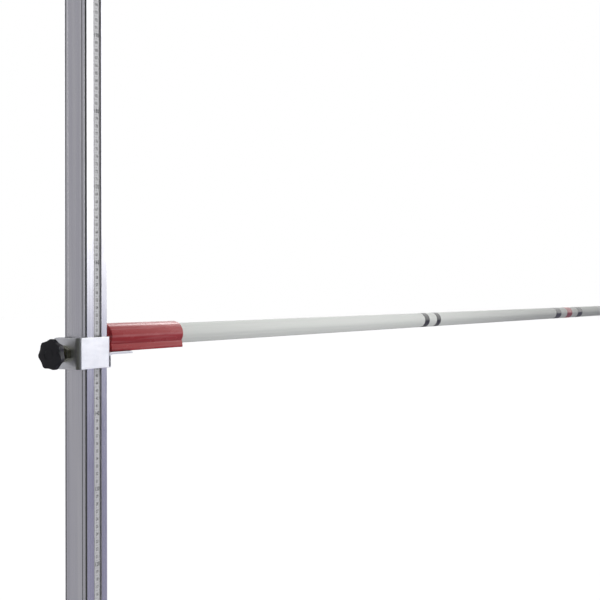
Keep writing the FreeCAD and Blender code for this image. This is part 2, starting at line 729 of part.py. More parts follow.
def build_weld_nut(side):
    """A flanged nut set in the sleeve's outer wall, turned about its own axis."""
    body = new_body(side.name + "_weld_nut_body")
    profile = new_sketch(body, "profile", "XZ_Plane")
    bore = "clamp_screw_radius + screw_clearance"
    outline(profile, [
        (bore, "-sheet"), ("weld_nut_spigot", "-sheet"), ("weld_nut_spigot", "0"), ("weld_nut_radius", "0"),
        ("weld_nut_radius", "weld_nut_flange - screw_lead"), ("weld_nut_radius - screw_lead", "weld_nut_flange"),
        (bore, "weld_nut_flange"),
    ])
    turn(body, profile)
    place(body, side, "-" + SLEEVE_OUT, "0", CLAMP_HEIGHT, FreeCAD.Rotation(ACROSS, -90))
    node(body, side.name + "_weld_nut")


def build_bar_support(side):
    """A plate bent down into a leg, which is welded to the sleeve's wall under the bar."""
    body = new_body(side.name + "_support_body")
    section = new_sketch(body, "section", "XZ_Plane", "-support_width / 2")
    wall = SLEEVE_IN
    tip = "post_width / 2 + support_reach"
    outline(section, [
        (wall, "%s - support_leg" % SUPPORT_TOP),
        ("%s + support_thickness" % wall, "%s - support_leg" % SUPPORT_TOP),
        ("%s + support_thickness" % wall, "%s - support_thickness" % SUPPORT_TOP),
        (tip, "%s - support_thickness" % SUPPORT_TOP),
        (tip, SUPPORT_TOP),
        (wall, SUPPORT_TOP),
    ])
    pad(body, section, "support_width")
    inner_line = "%s + support_thickness" % wall
    inner = straight_edges(body.Shape, ACROSS, lambda middle: near(middle.x, inner_line)
                           and near(middle.z, "%s - support_thickness" % SUPPORT_TOP))
    soften(body, inner, "support_bend", "inner_bend")
    outer = straight_edges(body.Shape, ACROSS, lambda middle: near(middle.x, wall)
                           and near(middle.z, SUPPORT_TOP))
    soften(body, outer, "support_thickness", "outer_bend")
    corners = straight_edges(body.Shape, UP, lambda middle: near(middle.x, tip))
    soften(body, corners, "support_corner", "corners")
    place(body, side)
    node(body, side.name + "_bar_support")


# The clamp: a pressure pad inside the sleeve, pushed by a screw with a star knob
def build_clamp_pad(side):
    body = new_body(side.name + "_clamp_pad_body")
    block = new_sketch(body, "block", "YZ_Plane")
    rectangle(block, "-clamp_pad_width / 2", "-clamp_pad_height / 2", "clamp_pad_width / 2", "clamp_pad_height / 2")
    pad(body, block, "clamp_gap - clamp_travel - clamp_pad_gap - stop_gap")
    back = straight_edges(body.Shape, ACROSS, lambda middle: near(middle.x, "0"))
    soften(body, back, "clamp_pad_edge", "back_chamfer", "Chamfer")
    socket = new_sketch(body, "tip_socket", "YZ_Plane")
    circle(socket, "0", "0", "clamp_tip_radius + screw_clearance")
    cut(body, socket, "clamp_tip_depth", "tip_socket_cut", along_normal=True)
    place(body, side, "-%s + sheet + clamp_travel + stop_gap" % SLEEVE_OUT, "0", CLAMP_HEIGHT)
    node(body, side.name + "_clamp_pad")


def build_clamp_screw(side):
    """Turned about its own axis, +Z outwards from the sleeve's face."""
    body = new_body(side.name + "_clamp_screw_body")
    profile = new_sketch(body, "profile", "XZ_Plane")
    shoulder = "-(sheet + clamp_travel + stop_gap)"
    tip = "%s - clamp_tip_depth + screw_clearance" % shoulder
    end = "knob_setback + knob_screw_depth - knob_hub"
    outline(profile, [
        ("0", tip), ("clamp_tip_radius", tip), ("clamp_tip_radius", shoulder + " + screw_clearance"),
        ("clamp_screw_radius", shoulder + " + screw_clearance"), ("clamp_screw_radius", end), ("0", end),
    ])
    turn(body, profile)
    place(body, side, "-" + SLEEVE_OUT, "0", CLAMP_HEIGHT, FreeCAD.Rotation(ACROSS, -90))
    node(body, side.name + "_clamp_screw")


def build_star_knob(side):
    """A turned blank that draws in to its hub, then a hollow between each two lobes."""
    body = new_body(side.name + "_knob_body")
    profile = new_sketch(body, "profile", "XZ_Plane")
    outline(profile, [
        ("clamp_screw_radius", "-knob_hub"), ("knob_hub_radius", "-knob_hub"), ("knob_hub_radius", "0"),
        ("knob_radius", "knob_rim - knob_lip"), ("knob_radius", "knob_rim"),
        ("insert_radius", "knob_rim + knob_dish"),
        ("0", "knob_rim + knob_dish"), ("0", "knob_screw_depth - knob_hub"),
        ("clamp_screw_radius", "knob_screw_depth - knob_hub"),
    ])
    turn(body, profile)
    hollow = new_sketch(body, "hollow", "XY_Plane")
    circle(hollow, "knob_radius - scallop_depth + scallop_radius", "0", "scallop_radius")
    scallop = cut(body, hollow, "knob_rim + knob_dish", "scallop", along_normal=True)
    pattern = body.newObject("PartDesign::PolarPattern", body.Name + "_lobes")
    pattern.Originals = [scallop]
    pattern.Axis = (hollow, ["N_Axis"])
    pattern.Angle = 360
    tie(pattern, "Occurrences", "knob_lobes")
    body.Tip = pattern
    doc.recompute()
    face = number("knob_rim")
    soften(body, rim_edges(body.Shape, face, number("knob_dish")), "knob_edge", "rim")
    back = number("knob_rim - knob_lip")
    soften(body, rim_edges(body.Shape, back, number("knob_lip") / 2), "knob_back_edge", "back_rim")
    turned = FreeCAD.Rotation(ACROSS, -90).multiply(FreeCAD.Rotation(UP, number("knob_turned")))
    place(body, side, "-%s - knob_setback" % SLEEVE_OUT, "0", CLAMP_HEIGHT, turned)
    node(body, side.name + "_star_knob")


def rim_edges(shape, level, spread):
    """The edges between the lobed side of the knob and the face at this level."""
    names = []
    for index, edge in enumerate(shape.Edges, start=1):
        box = edge.BoundBox
        reach = max(math.hypot(vertex.X, vertex.Y) for vertex in edge.Vertexes)
        at_level = abs(box.Center.z - level) < spread and box.ZLength < spread
        if at_level and reach > number("knob_radius - scallop_depth") - NEARNESS:
            names.append("Edge%d" % index)
    return names


# The crossbar: a tube with a moulded end piece on each end
def build_crossbar():
    tube = new_body("crossbar_body")
    section = new_sketch(tube, "section", "YZ_Plane", "-(bar_length / 2 - end_wall)")
    circle(section, "bar_offset", "bar_height", "bar_diameter / 2")
    circle(section, "bar_offset", "bar_height", "bar_diameter / 2 - bar_wall")
    pad(tube, section, "bar_length - 2 * end_wall")
    node(tube, "crossbar_tube")
    for name, start in (("left", "-bar_length / 2"), ("right", "bar_length / 2 - end_piece_length")):
        build_bar_end(name, start)


def build_bar_end(name, start):
    """A round sleeve on a flat strip, closed at its outer end and rounded off above the bar's exit."""
    body = new_body(name + "_end_body")
    section = new_sketch(body, "strip", "YZ_Plane", start)
    floor = "(bar_height - end_base_drop)"
    shoulder = "(%s + end_base_height)" % floor
    neck = "(%s + end_ledge_rise)" % shoulder
    neck_half = "sqrt(end_round_radius ^ 2 - (end_base_drop - end_base_height - end_ledge_rise) ^ 2)"
    half = "end_base_width / 2"
    outline(section, [
        ("bar_offset - " + half, floor), ("bar_offset + " + half, floor), ("bar_offset + " + half, shoulder),
        ("bar_offset + " + neck_half, neck), ("bar_offset - " + neck_half, neck),
        ("bar_offset - " + half, shoulder),
    ])
    pad(body, section, "end_piece_length", "strip_pad")
    lower = straight_edges(body.Shape, ALONG, lambda middle: near(middle.z, floor))
    soften(body, lower, "end_strip_edge", "strip_edges")
    barrel = new_sketch(body, "barrel", "YZ_Plane", start)
    circle(barrel, "bar_offset", "bar_height", "end_round_radius")
    pad(body, barrel, "end_piece_length", "barrel_pad")
    closed = "end_wall" if name == "left" else "0"
    bore = new_sketch(body, "bore", "YZ_Plane", "%s + %s" % (start, closed))
    circle(bore, "bar_offset", "bar_height", "bar_diameter / 2 + end_tube_clearance")
    cut(body, bore, "end_piece_length - end_wall", "bore_cut", along_normal=True)
    round_nose(body, "-1" if name == "right" else "1", start)
    node(body, name + "_bar_end")


def round_nose(body, inward, start):
    """Cut the upper corner at the inner end to a quarter round, seen from the front."""
    face = "(%s + (1 + %s) / 2 * end_piece_length)" % (start, inward)
    top = "(bar_height + end_round_radius)"
    middle_x = "(%s - %s * end_nose)" % (face, inward)
    middle_z = "(%s - end_nose)" % top
    corner = new_sketch(body, "nose", "XZ_Plane", "-bar_offset")
    outer = [(middle_x, top), (middle_x, top + " + end_nose"),
             (face + " + %s * end_nose" % inward, top + " + end_nose"),
             (face + " + %s * end_nose" % inward, middle_z), (face, middle_z)]
    places = [FreeCAD.Vector(number(x), number(z), 0) for x, z in outer]
    for step in range(len(outer) - 1):
        corner.addGeometry(Part.LineSegment(places[step], places[step + 1]), False)
    centre = FreeCAD.Vector(number(middle_x), number(middle_z), 0)
    turn_from = 0 if inward == "1" else math.pi / 2
    ring = Part.Circle(centre, FreeCAD.Vector(0, 0, 1), number("end_nose"))
    arc = corner.addGeometry(Part.ArcOfCircle(ring, turn_from, turn_from + math.pi / 2), False)
    first_end, last_end = (1, 2) if inward == "1" else (2, 1)
    for step in range(len(outer) - 2):
        corner.addConstraint(Sketcher.Constraint("Coincident", step, 2, step + 1, 1))
    for step in range(len(outer) - 1):
        pin_point(corner, step, 1, outer[step])
    pin_point(corner, arc, 3, (middle_x, middle_z))
    corner.addConstraint(Sketcher.Constraint("Coincident", arc, last_end, 0, 1))
    corner.addConstraint(Sketcher.Constraint("Coincident", arc, first_end, len(outer) - 2, 2))
    cut(body, corner, "4 * end_round_radius", "nose_cut", symmetric=True)


def build_standard(side):
    build_upright(side)
    build_tape(side)
    build_upright_cap(side)
    build_base_tubes(side)
    build_socket(side)
    build_gussets(side)
    build_tube_caps(side)
    build_socket_bolts(side)
    build_foot_hardware(side)
    build_feet(side)
    build_sleeve(side)
    build_weld_nut(side)
    build_bar_support(side)
    build_clamp_pad(side)
    build_clamp_screw(side)
    build_star_knob(side)


def check_and_export():
    """Stop if anything failed, then write one file per node."""
    doc.recompute()
    failed = [item.Name for item in doc.Objects if "Invalid" in item.State or "Error" in item.State]
    for piece in NODES:
        if piece.Shape.isNull() or not piece.Shape.isValid() or not piece.Shape.Solids:
            failed.append(piece.Label)
    if failed:
        raise RuntimeError("failed: " + ", ".join(failed))
    os.makedirs("parts", exist_ok=True)
    for piece in NODES:
        piece.Shape.exportStep("parts/%s.step" % piece.Label)
    print(len(NODES), "nodes written")


build_standard(Side("left", -1))
build_standard(Side("right", 1))
build_crossbar()
check_and_export()
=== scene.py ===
# %% [markdown]
# # High jump standards
# This lesson dresses a pair of high jump standards and the crossbar that lies between them. The
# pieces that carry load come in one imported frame, at their real size and place. What is added
# here is the finish of every surface and the fine pieces that a maker would see: the printed
# scale, the vinyl bands and moulded ends of the bar, the star knobs, the screw threads, the
# chamfered heads and nuts, the grooved rubber feet and the weld beads.

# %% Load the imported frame
import json
import math

import bmesh
import bpy
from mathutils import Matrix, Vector


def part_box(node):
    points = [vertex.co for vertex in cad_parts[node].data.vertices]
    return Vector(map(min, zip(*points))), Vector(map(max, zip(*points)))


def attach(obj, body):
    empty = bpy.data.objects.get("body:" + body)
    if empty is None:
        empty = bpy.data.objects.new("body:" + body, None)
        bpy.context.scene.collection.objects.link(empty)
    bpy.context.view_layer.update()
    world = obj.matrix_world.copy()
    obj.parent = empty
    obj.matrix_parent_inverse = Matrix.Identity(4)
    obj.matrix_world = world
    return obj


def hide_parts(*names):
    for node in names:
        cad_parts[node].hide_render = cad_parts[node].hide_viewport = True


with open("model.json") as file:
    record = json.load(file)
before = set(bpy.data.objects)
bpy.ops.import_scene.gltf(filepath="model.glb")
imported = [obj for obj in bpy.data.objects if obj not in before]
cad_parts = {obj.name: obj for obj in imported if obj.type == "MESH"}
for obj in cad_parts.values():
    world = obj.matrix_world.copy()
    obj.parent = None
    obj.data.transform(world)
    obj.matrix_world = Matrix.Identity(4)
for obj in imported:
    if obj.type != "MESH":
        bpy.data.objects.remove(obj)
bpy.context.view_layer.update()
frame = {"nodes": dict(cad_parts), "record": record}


# %% [markdown]
# Drawings of such equipment are in millimetres, and Blender works in metres. One small function
# keeps the numbers below readable. The places that many pieces share are measured on the frame,
# so a piece always goes where the real one is fixed.

# %% Millimetres, and the places that pieces share
def mm(value):
    return value / 1000


def middle_of(node):
    low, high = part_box(node)
    return (low + high) / 2


POST = middle_of("left_upright")
BAR = middle_of("crossbar_tube")
SIDES = {"left": -1, "right": 1}
FEET = ("front", "back", "outer")
print("left upright at x = %.3f m, bar at z = %.3f m" % (POST.x, BAR.z))


# %% [markdown]
# The camera stands in front of the left standard, beyond its outer side, and looks along the
# bar, as a person does who checks its height. Its place was worked out from the upright's edges,
# the scale and the bar's taper, and is given from the point where the upright meets the bar's
# height. A 67 mm lens on a 36 mm sensor gives the moderate perspective of a product picture.

# %% Camera
CAMERA_FROM_POST = Vector((mm(-1129.56), mm(-1012.69), mm(61.89)))
CAMERA_HEADING = math.radians(31.066)
CAMERA_DIP = math.radians(0.457)
LENS = 67.25
SENSOR = 36

camera_data = bpy.data.cameras.new("camera")
camera_data.lens = LENS
camera_data.sensor_width = SENSOR
camera_data.clip_start = 0.05
camera_data.clip_end = 200
camera = bpy.data.objects.new("camera", camera_data)
camera.location = Vector((POST.x, POST.y, BAR.z)) + CAMERA_FROM_POST
line_of_sight = Vector((
    math.cos(CAMERA_HEADING) * math.cos(CAMERA_DIP),
    math.sin(CAMERA_HEADING) * math.cos(CAMERA_DIP),
    -math.sin(CAMERA_DIP),
))
camera.rotation_mode = "QUATERNION"
camera.rotation_quaternion = line_of_sight.to_track_quat("-Z", "Y")
bpy.context.scene.collection.objects.link(camera)
bpy.context.scene.camera = camera
bpy.context.scene.view_settings.view_transform = "Standard"
print("camera at", tuple(round(value, 3) for value in camera.location))


# %% [markdown]
# A colour is written the way a designer reads it off a swatch, as an sRGB hex value. Shaders
# work in linear light, so one function turns the one into the other. A second small function
# adds a node: its options, the values of its sockets, and the outputs that feed them.

# %% Colour and node helpers
def linear(code):
    """An sRGB hex value such as #C0FFEE as linear red, green, blue and alpha."""
    channels = [int(code[start:start + 2], 16) / 255 for start in (1, 3, 5)]
    curve = [value / 12.92 if value <= 0.04045 else ((value + 0.055) / 1.055) ** 2.4 for value in channels]
    return (*curve, 1.0)


def add(tree, kind, sockets=None, **options):
    """Add one node. A socket is given a value, a hex colour, or the output of a node that feeds it."""
    node = tree.nodes.new("ShaderNode" + kind)
    for name, value in options.items():
        setattr(node, name, value)
    for name, value in (sockets or {}).items():
        if isinstance(value, bpy.types.NodeSocket):
            tree.links.new(value, node.inputs[name])
        else:
            node.inputs[name].default_value = linear(value) if isinstance(value, str) else value
    return node


def fill_ramp(node, stops):
    """Give a colour ramp its stops, as pairs of a place from 0 to 1 and a hex colour."""
    elements = node.color_ramp.elements
    while len(elements) > 1:
        elements.remove(elements[-1])
    for index, (place, code) in enumerate(stops):
        stop = elements[0] if index == 0 else elements.new(place)
        stop.position = place
        stop.color = linear(code)


# %% [markdown]
# The studio is a white surround with a darker side behind the camera. Bright metal shows its
# surroundings more than its own colour, so the surroundings are built by compass heading. Seen
# in the metal, the backdrop above the horizon is bright, the floor below it is a lilac grey
# towards the front and a plain grey elsewhere, the wall beyond the left standard is a middle
# grey and the side behind the camera is nearly dark. Plain surfaces get an even light, and the
# camera itself sees plain white.

# %% Studio surroundings by heading
BACKDROP = 1.7
WALL_IN_METAL = "#ACABAF"
BESIDE_CAMERA = "#4E4F50"
DARK_SIDE = "#33342D"
EVEN_LIGHT = 0.45

world = bpy.data.worlds.new("studio")
bpy.context.scene.world = world
world.use_nodes = True
tree = world.node_tree
tree.nodes.clear()
rays = add(tree, "LightPath")
direction = add(tree, "TexCoord").outputs["Generated"]
parts = add(tree, "SeparateXYZ", {"Vector": direction})
heading = add(tree, "Math", {0: parts.outputs["Y"], 1: parts.outputs["X"]}, operation="ARCTAN2")
turned_by = add(tree, "MapRange", {"Value": heading.outputs[0], "From Min": -math.pi, "From Max": math.pi})
walls = add(tree, "ValToRGB", {"Fac": turned_by.outputs[0]})
# Stops by compass heading in degrees, from -180 to 180, with +X at 0 and +Y at 90
STOPS = [
    (-180, DARK_SIDE), (-122, DARK_SIDE), (-112, BESIDE_CAMERA), (-56, BESIDE_CAMERA), (-50, "#FFFFFF"),
    (104, "#FFFFFF"), (112, WALL_IN_METAL), (156, WALL_IN_METAL), (164, DARK_SIDE),
]
fill_ramp(walls, [((degrees + 180) / 360, code) for degrees, code in STOPS])
print("surroundings in", len(STOPS), "stops")

# %% Bright above the horizon, lilac grey below it
BACKDROP_FROM, BACKDROP_TO = 121 / 360, 289 / 360
EDGE = 6 / 360
FLOOR_STOPS = [(0.0, "#9A99C4"), (0.08, "#86859F"), (0.26, "#A19FB3")]
NEUTRAL_FLOOR = "#98989D"
NEUTRAL_FROM, NEUTRAL_BY = 170 / 360, 195 / 360
near_start = add(tree, "MapRange", {"Value": turned_by.outputs[0], "From Min": BACKDROP_FROM - EDGE,
                                    "From Max": BACKDROP_FROM})
near_end = add(tree, "MapRange", {"Value": turned_by.outputs[0], "From Min": BACKDROP_TO + EDGE,
                                  "From Max": BACKDROP_TO})
backdrop = add(tree, "Math", {0: near_start.outputs[0], 1: near_end.outputs[0]}, operation="MULTIPLY")
gain = add(tree, "MapRange", {"Value": backdrop.outputs[0], "To Min": 1.0, "To Max": BACKDROP})
above = add(tree, "VectorMath", {0: walls.outputs["Color"], "Scale": gain.outputs[0]}, operation="SCALE")
depth = add(tree, "Math", {0: parts.outputs["Z"], 1: -1.0}, operation="MULTIPLY")
floor_colour = add(tree, "ValToRGB", {"Fac": depth.outputs[0]})
fill_ramp(floor_colour, FLOOR_STOPS)
beyond = add(tree, "MapRange", {"Value": turned_by.outputs[0], "From Min": NEUTRAL_FROM,
                                "From Max": NEUTRAL_BY})
floor_tint = add(tree, "Mix", {"Factor": beyond.outputs[0], "A": floor_colour.outputs["Color"],
                               "B": NEUTRAL_FLOOR}, data_type="RGBA")
sunk = add(tree, "MapRange", {"Value": depth.outputs[0], "From Min": 0.0, "From Max": 0.02})
floor_share = add(tree, "Math", {0: sunk.outputs[0], 1: backdrop.outputs[0]}, operation="MULTIPLY")
in_metal = add(tree, "Mix", {"Factor": floor_share.outputs[0], "A": above.outputs[0],
                             "B": floor_tint.outputs["Result"]}, data_type="RGBA")
print("backdrop", BACKDROP, "times white in metal")

# %% What each kind of ray sees
even = (EVEN_LIGHT, EVEN_LIGHT, EVEN_LIGHT, 1)
for_shading = add(tree, "Mix", {"Factor": rays.outputs["Is Glossy Ray"], "A": even,
                                "B": in_metal.outputs["Result"]}, data_type="RGBA")
plain = add(tree, "Math", {0: rays.outputs["Is Camera Ray"], 1: rays.outputs["Is Transmission Ray"]},
            operation="MAXIMUM")
seen = add(tree, "Mix", {"Factor": plain.outputs[0], "A": for_shading.outputs["Result"], "B": (1, 1, 1, 1)},
           data_type="RGBA")
background = add(tree, "Background", {"Color": seen.outputs["Result"], "Strength": 1.0})
add(tree, "OutputWorld", {"Surface": background.outputs[0]})
print("even light", EVEN_LIGHT)

# %% [markdown]
# The floor is a wide pale disc. A little light of its own, which only the camera sees, makes it
# as white as the backdrop while the soft shadows under the standards stay. Metal doesn't see
# it, because the surroundings above already hold the floor's colour.

# %% Floor
FLOOR_RADIUS = 60
FLOOR_OWN_LIGHT = 0.68
bpy.ops.mesh.primitive_circle_add(vertices=128, radius=FLOOR_RADIUS, fill_type="NGON", location=(0, 0, 0))
floor = bpy.context.object
floor.name = "studio_floor"
floor.visible_glossy = False
floor_material = bpy.data.materials.new("pale studio floor")
floor_material.use_nodes = True
tree = floor_material.node_tree
tree.nodes.clear()
matt = add(tree, "BsdfDiffuse", {"Color": "#E6E6E8", "Roughness": 1.0})
own = add(tree, "Emission", {"Color": (1, 1, 1, 1), "Strength": FLOOR_OWN_LIGHT})
in_camera = add(tree, "AddShader", {0: matt.outputs[0], 1: own.outputs[0]})
either = add(tree, "MixShader", {0: add(tree, "LightPath").outputs["Is Camera Ray"], 1: matt.outputs[0],
                                 2: in_camera.outputs[0]})
add(tree, "OutputMaterial", {"Surface": either.outputs[0]})
floor.data.materials.append(floor_material)


# %% [markdown]
# The key stands high in front of the near half of the bar, and a low fill lifts its underside.
# Grids on both, which Blender calls spread, keep their light on that half, so the far half falls
# away. A white card brightens the front of the sleeve, and light linking keeps its light off
# the rest.

# %% Lamps
def soft_box(name, place, target, size, power, spread, in_gloss):
    data = bpy.data.lights.new(name, "AREA")
    data.shape = "RECTANGLE"
    data.size, data.size_y = size
    data.energy = power
    data.spread = math.radians(spread)
    lamp = bpy.data.objects.new(name, data)
    lamp.location = place
    lamp.rotation_mode = "QUATERNION"
    lamp.rotation_quaternion = (Vector(target) - Vector(place)).to_track_quat("-Z", "Y")
    lamp.visible_glossy = in_gloss
    bpy.context.scene.collection.objects.link(lamp)
    return lamp


def light_only(lamp, pieces):
    """Keep a lamp's light for these pieces."""
    lit = bpy.data.collections.new("lit by the " + lamp.name)
    for piece in pieces:
        lit.objects.link(piece)
    lamp.light_linking.receiver_collection = lit


soft_box("key", (-1.35, -0.9, 3.4), (-1.35, 0, 1.5), (1.0, 0.8), 4.6, 80, False)
soft_box("fill", (-1.35, -1.8, 0.3), (-1.35, 0, 1.5), (1.0, 0.8), 4.0, 70, False)
card = soft_box("card", (-0.6, -1.3, 1.38), (-2.03, -0.02, 1.48), (0.9, 0.9), 0.6, 120, True)
light_only(card, [frame["nodes"][side + "_sleeve"] for side in SIDES])


# %% [markdown]
# Real surfaces vary over a few millimetres: a drawn profile has lines along its length, a
# moulding has a faint cloudiness, paint has a skin like an orange. One function gives noise
# whose features have a real size along X, Y and Z. A second one closes a material: it holds the
# shader, a relief of a real depth under it, and edges that are broken by some tenths of a
# millimetre, as every maker breaks them. A sharp edge would catch no light.

# %% Material helpers
def new_material(name):
    material = bpy.data.materials.new(name)
    material.use_nodes = True
    material.node_tree.nodes.clear()
    return material, material.node_tree


def grain(tree, along_x, along_y, along_z, detail=2.0):
    """Noise from 0 to 1 whose features are about this many millimetres long along each axis."""
    place = add(tree, "TexCoord").outputs["Object"]
    steps = add(tree, "VectorMath", {0: place, 1: (1000 / along_x, 1000 / along_y, 1000 / along_z)},
                operation="MULTIPLY")
    return add(tree, "TexNoise", {"Vector": steps.outputs[0], "Scale": 1.0, "Detail": detail}).outputs["Fac"]


# Noise rarely leaves the middle of its range, so a gloss is spread over that part of it
NOISE_SPAN = {"From Min": 0.3, "From Max": 0.7}
NARROW_SPAN = {"From Min": 0.35, "From Max": 0.65}


def surface(material, tint, gloss, sockets, relief, height, edge):
    """Close a material: its colour, its roughness as a node or a number, its other sockets, and its
    relief and broken edges in millimetres."""
    tree = material.node_tree
    roughness = gloss if isinstance(gloss, float) else gloss.outputs[0]
    broken_edges = add(tree, "Bevel", {"Radius": mm(edge)}, samples=6)
    bump = add(tree, "Bump", {"Height": relief, "Distance": mm(height),
                              "Normal": broken_edges.outputs["Normal"]})
    shader = add(tree, "BsdfPrincipled", {
        "Base Color": tint.outputs["Result"],
        "Roughness": roughness,
        "Normal": bump.outputs["Normal"],
        **sockets,
    })
    add(tree, "OutputMaterial", {"Surface": shader.outputs[0]})
    print(material.name, len(tree.nodes), "nodes")


# %% [markdown]
# Anodised aluminium. The upright is pushed through a steel die and then anodised, which leaves a
# thin clear oxide over bright metal. The die draws fine lines along the length, and the etch
# before anodising makes them satin. To the eye that is a soft mirror, blurred sideways, with
# faint streaks up and down. Real die lines are about 0.1 mm apart, too fine to show here, so
# they are drawn about 2 mm apart, over wide bands of slightly different gloss.

# %% Anodised aluminium
anodised, tree = new_material("satin anodised aluminium")
lines = grain(tree, 2.2, 2.2, 900)
bands = grain(tree, 9, 9, 420, 1.0)
handling = grain(tree, 14, 14, 30, 3.0)
line_tint = add(tree, "Mix", {"Factor": lines, "A": "#D6D6DC", "B": "#F2F2F4"}, data_type="RGBA")
band_share = add(tree, "MapRange", {"Value": bands, **NARROW_SPAN, "To Max": 0.35})
tint = add(tree, "Mix", {"Factor": band_share.outputs[0], "A": line_tint.outputs["Result"], "B": "#CCCCD8"},
           data_type="RGBA")
gloss = add(tree, "MapRange", {"Value": handling, **NOISE_SPAN, "To Min": 0.2, "To Max": 0.27})
surface(anodised, tint, gloss, {"Metallic": 1.0}, lines, 0.02, 0.8)


# %% [markdown]
# Zinc-plated sheet. The sleeve and the bar support are cut and bent from 2.5 and 3 mm steel and
# plated bright. Plating follows the rolled sheet, so it keeps its rolling streaks, and the bath
# leaves pale clouds. It is whiter and softer than the aluminium beside it.

# %% Zinc-plated sheet
zinc_sheet, tree = new_material("zinc plated steel sheet")
rolled = grain(tree, 26, 26, 3.5, 3.0)
clouds = grain(tree, 11, 11, 14, 4.0)
speckle = grain(tree, 1.6, 1.6, 1.6)
pale = add(tree, "Mix", {"Factor": clouds, "A": "#E9ECF0", "B": "#FCFCFD"}, data_type="RGBA")
worn = add(tree, "MapRange", {"Value": speckle, "From Min": 0.62, "From Max": 0.75, "To Max": 0.3})
tint = add(tree, "Mix", {"Factor": worn.outputs[0], "A": pale.outputs["Result"], "B": "#C9CDD3"},
           data_type="RGBA")
gloss = add(tree, "MapRange", {"Value": rolled, **NOISE_SPAN, "To Min": 0.3, "To Max": 0.42})
surface(zinc_sheet, tint, gloss, {"Metallic": 0.94}, rolled, 0.03, 0.9)


# %% [markdown]
# Zinc-plated steel. Screws, nuts and bushes are turned or forged and plated in a barrel, often
# with a yellow passivation that turns olive. Tumbling leaves small dull knocks.

# %% Zinc-plated fasteners
zinc_steel, tree = new_material("yellow passivated zinc")
knocks = grain(tree, 2.5, 2.5, 2.5, 3.0)
tint = add(tree, "Mix", {"Factor": knocks, "A": "#A5A68E", "B": "#C6C6B4"}, data_type="RGBA")
gloss = add(tree, "MapRange", {"Value": knocks, **NOISE_SPAN, "To Min": 0.24, "To Max": 0.38})
surface(zinc_steel, tint, gloss, {"Metallic": 1.0}, knocks, 0.03, 0.3)


# %% [markdown]
# Phenolic. Star knobs are pressed from black phenolic powder in a polished mould, so they are
# glossy, hard and very dark, and hands leave a faint greasy film on the crown.

# %% Black phenolic
phenolic, tree = new_material("polished black phenolic")
film = grain(tree, 9, 9, 9, 3.0)
tint = add(tree, "Mix", {"Factor": film, "A": "#08080A", "B": "#121215"}, data_type="RGBA")
gloss = add(tree, "MapRange", {"Value": film, **NARROW_SPAN, "To Min": 0.08, "To Max": 0.13})
surface(phenolic, tint, gloss, {"IOR": 1.6, "Specular IOR Level": 0.2}, film, 0.03, 0.8)


# %% [markdown]
# Polypropylene. The caps in the tube ends are injection moulded with a fine spark-eroded grain,
# about 0.3 mm across, drawn here as 0.8 mm. It scatters light, so the black looks charcoal.

# %% Black polypropylene
cap_plastic, tree = new_material("grained black polypropylene")
pimples = grain(tree, 0.8, 0.8, 0.8)
flow = grain(tree, 18, 18, 18)
tint = add(tree, "Mix", {"Factor": flow, "A": "#1B1B1C", "B": "#29292A"}, data_type="RGBA")
gloss = add(tree, "MapRange", {"Value": pimples, **NOISE_SPAN, "To Min": 0.42, "To Max": 0.6})
surface(cap_plastic, tint, gloss, {"IOR": 1.49}, pimples, 0.06, 0.6)


# %% [markdown]
# Polyamide. The pressure pad that the screw pushes against the upright is sawn and faced from
# black bar, which leaves parallel tool marks about 0.4 mm apart.

# %% Machined polyamide
pad_plastic, tree = new_material("machined black polyamide")
tool_marks = grain(tree, 12, 30, 0.4)
tint = add(tree, "Mix", {"Factor": tool_marks, "A": "#1E1E20", "B": "#2C2C2E"}, data_type="RGBA")
surface(pad_plastic, tint, 0.52, {"IOR": 1.53}, tool_marks, 0.05, 0.4)


# %% [markdown]
# Powder coat. The base is welded first and then coated as one piece, so the same skin covers
# tubes, gussets and weld beads. Baked powder flows into low hills about 3 mm apart, which break
# up reflections like orange peel. Feet scuff it, so its gloss varies near the floor.

# %% Powder coat
powder_coat, tree = new_material("grey powder coat")
peel = grain(tree, 3, 3, 3, 1.0)
scuffs = grain(tree, 60, 60, 25, 5.0)
tint = add(tree, "Mix", {"Factor": scuffs, "A": "#A9ABAE", "B": "#BABCBF"}, data_type="RGBA")
gloss = add(tree, "MapRange", {"Value": scuffs, **NARROW_SPAN, "To Min": 0.33, "To Max": 0.5})
surface(powder_coat, tint, gloss, {"IOR": 1.52}, peel, 0.08, 1.0)


# %% [markdown]
# Rubber. The feet are compression moulded, dull, and hold dust in their pores, which greys the
# black and is thickest near the floor.

# %% Foot rubber
rubber, tree = new_material("moulded black rubber")
pores = grain(tree, 1.2, 1.2, 1.2, 3.0)
height = add(tree, "SeparateXYZ", {"Vector": add(tree, "TexCoord").outputs["Object"]}).outputs["Z"]
low_down = add(tree, "MapRange", {"Value": height, "From Min": mm(10), "From Max": 0.0, "To Max": 0.45})
dusty = add(tree, "Math", {0: low_down.outputs[0], 1: pores}, operation="MULTIPLY")
tint = add(tree, "Mix", {"Factor": dusty.outputs[0], "A": "#1D1D1E", "B": "#6E6A62"}, data_type="RGBA")
surface(rubber, tint, 0.74, {"IOR": 1.52}, pores, 0.08, 0.6)


# %% [markdown]
# Polyester tape. The scale is printed on a thin strip that is glued in the groove. Its face is a
# smooth pale grey film, which shows the bright studio at a low angle, with fine matt scratches.

# %% Polyester tape
tape_film, tree = new_material("pale polyester tape")
scratches = grain(tree, 1.1, 1.1, 60, 3.0)
yellowed = grain(tree, 40, 40, 120)
tint = add(tree, "Mix", {"Factor": yellowed, "A": "#CCCCD0", "B": "#D8D8D8"}, data_type="RGBA")
gloss = add(tree, "MapRange", {"Value": scratches, **NARROW_SPAN, "To Min": 0.24, "To Max": 0.38})
surface(tape_film, tint, gloss, {"IOR": 1.57}, scratches, 0.01, 0.1)


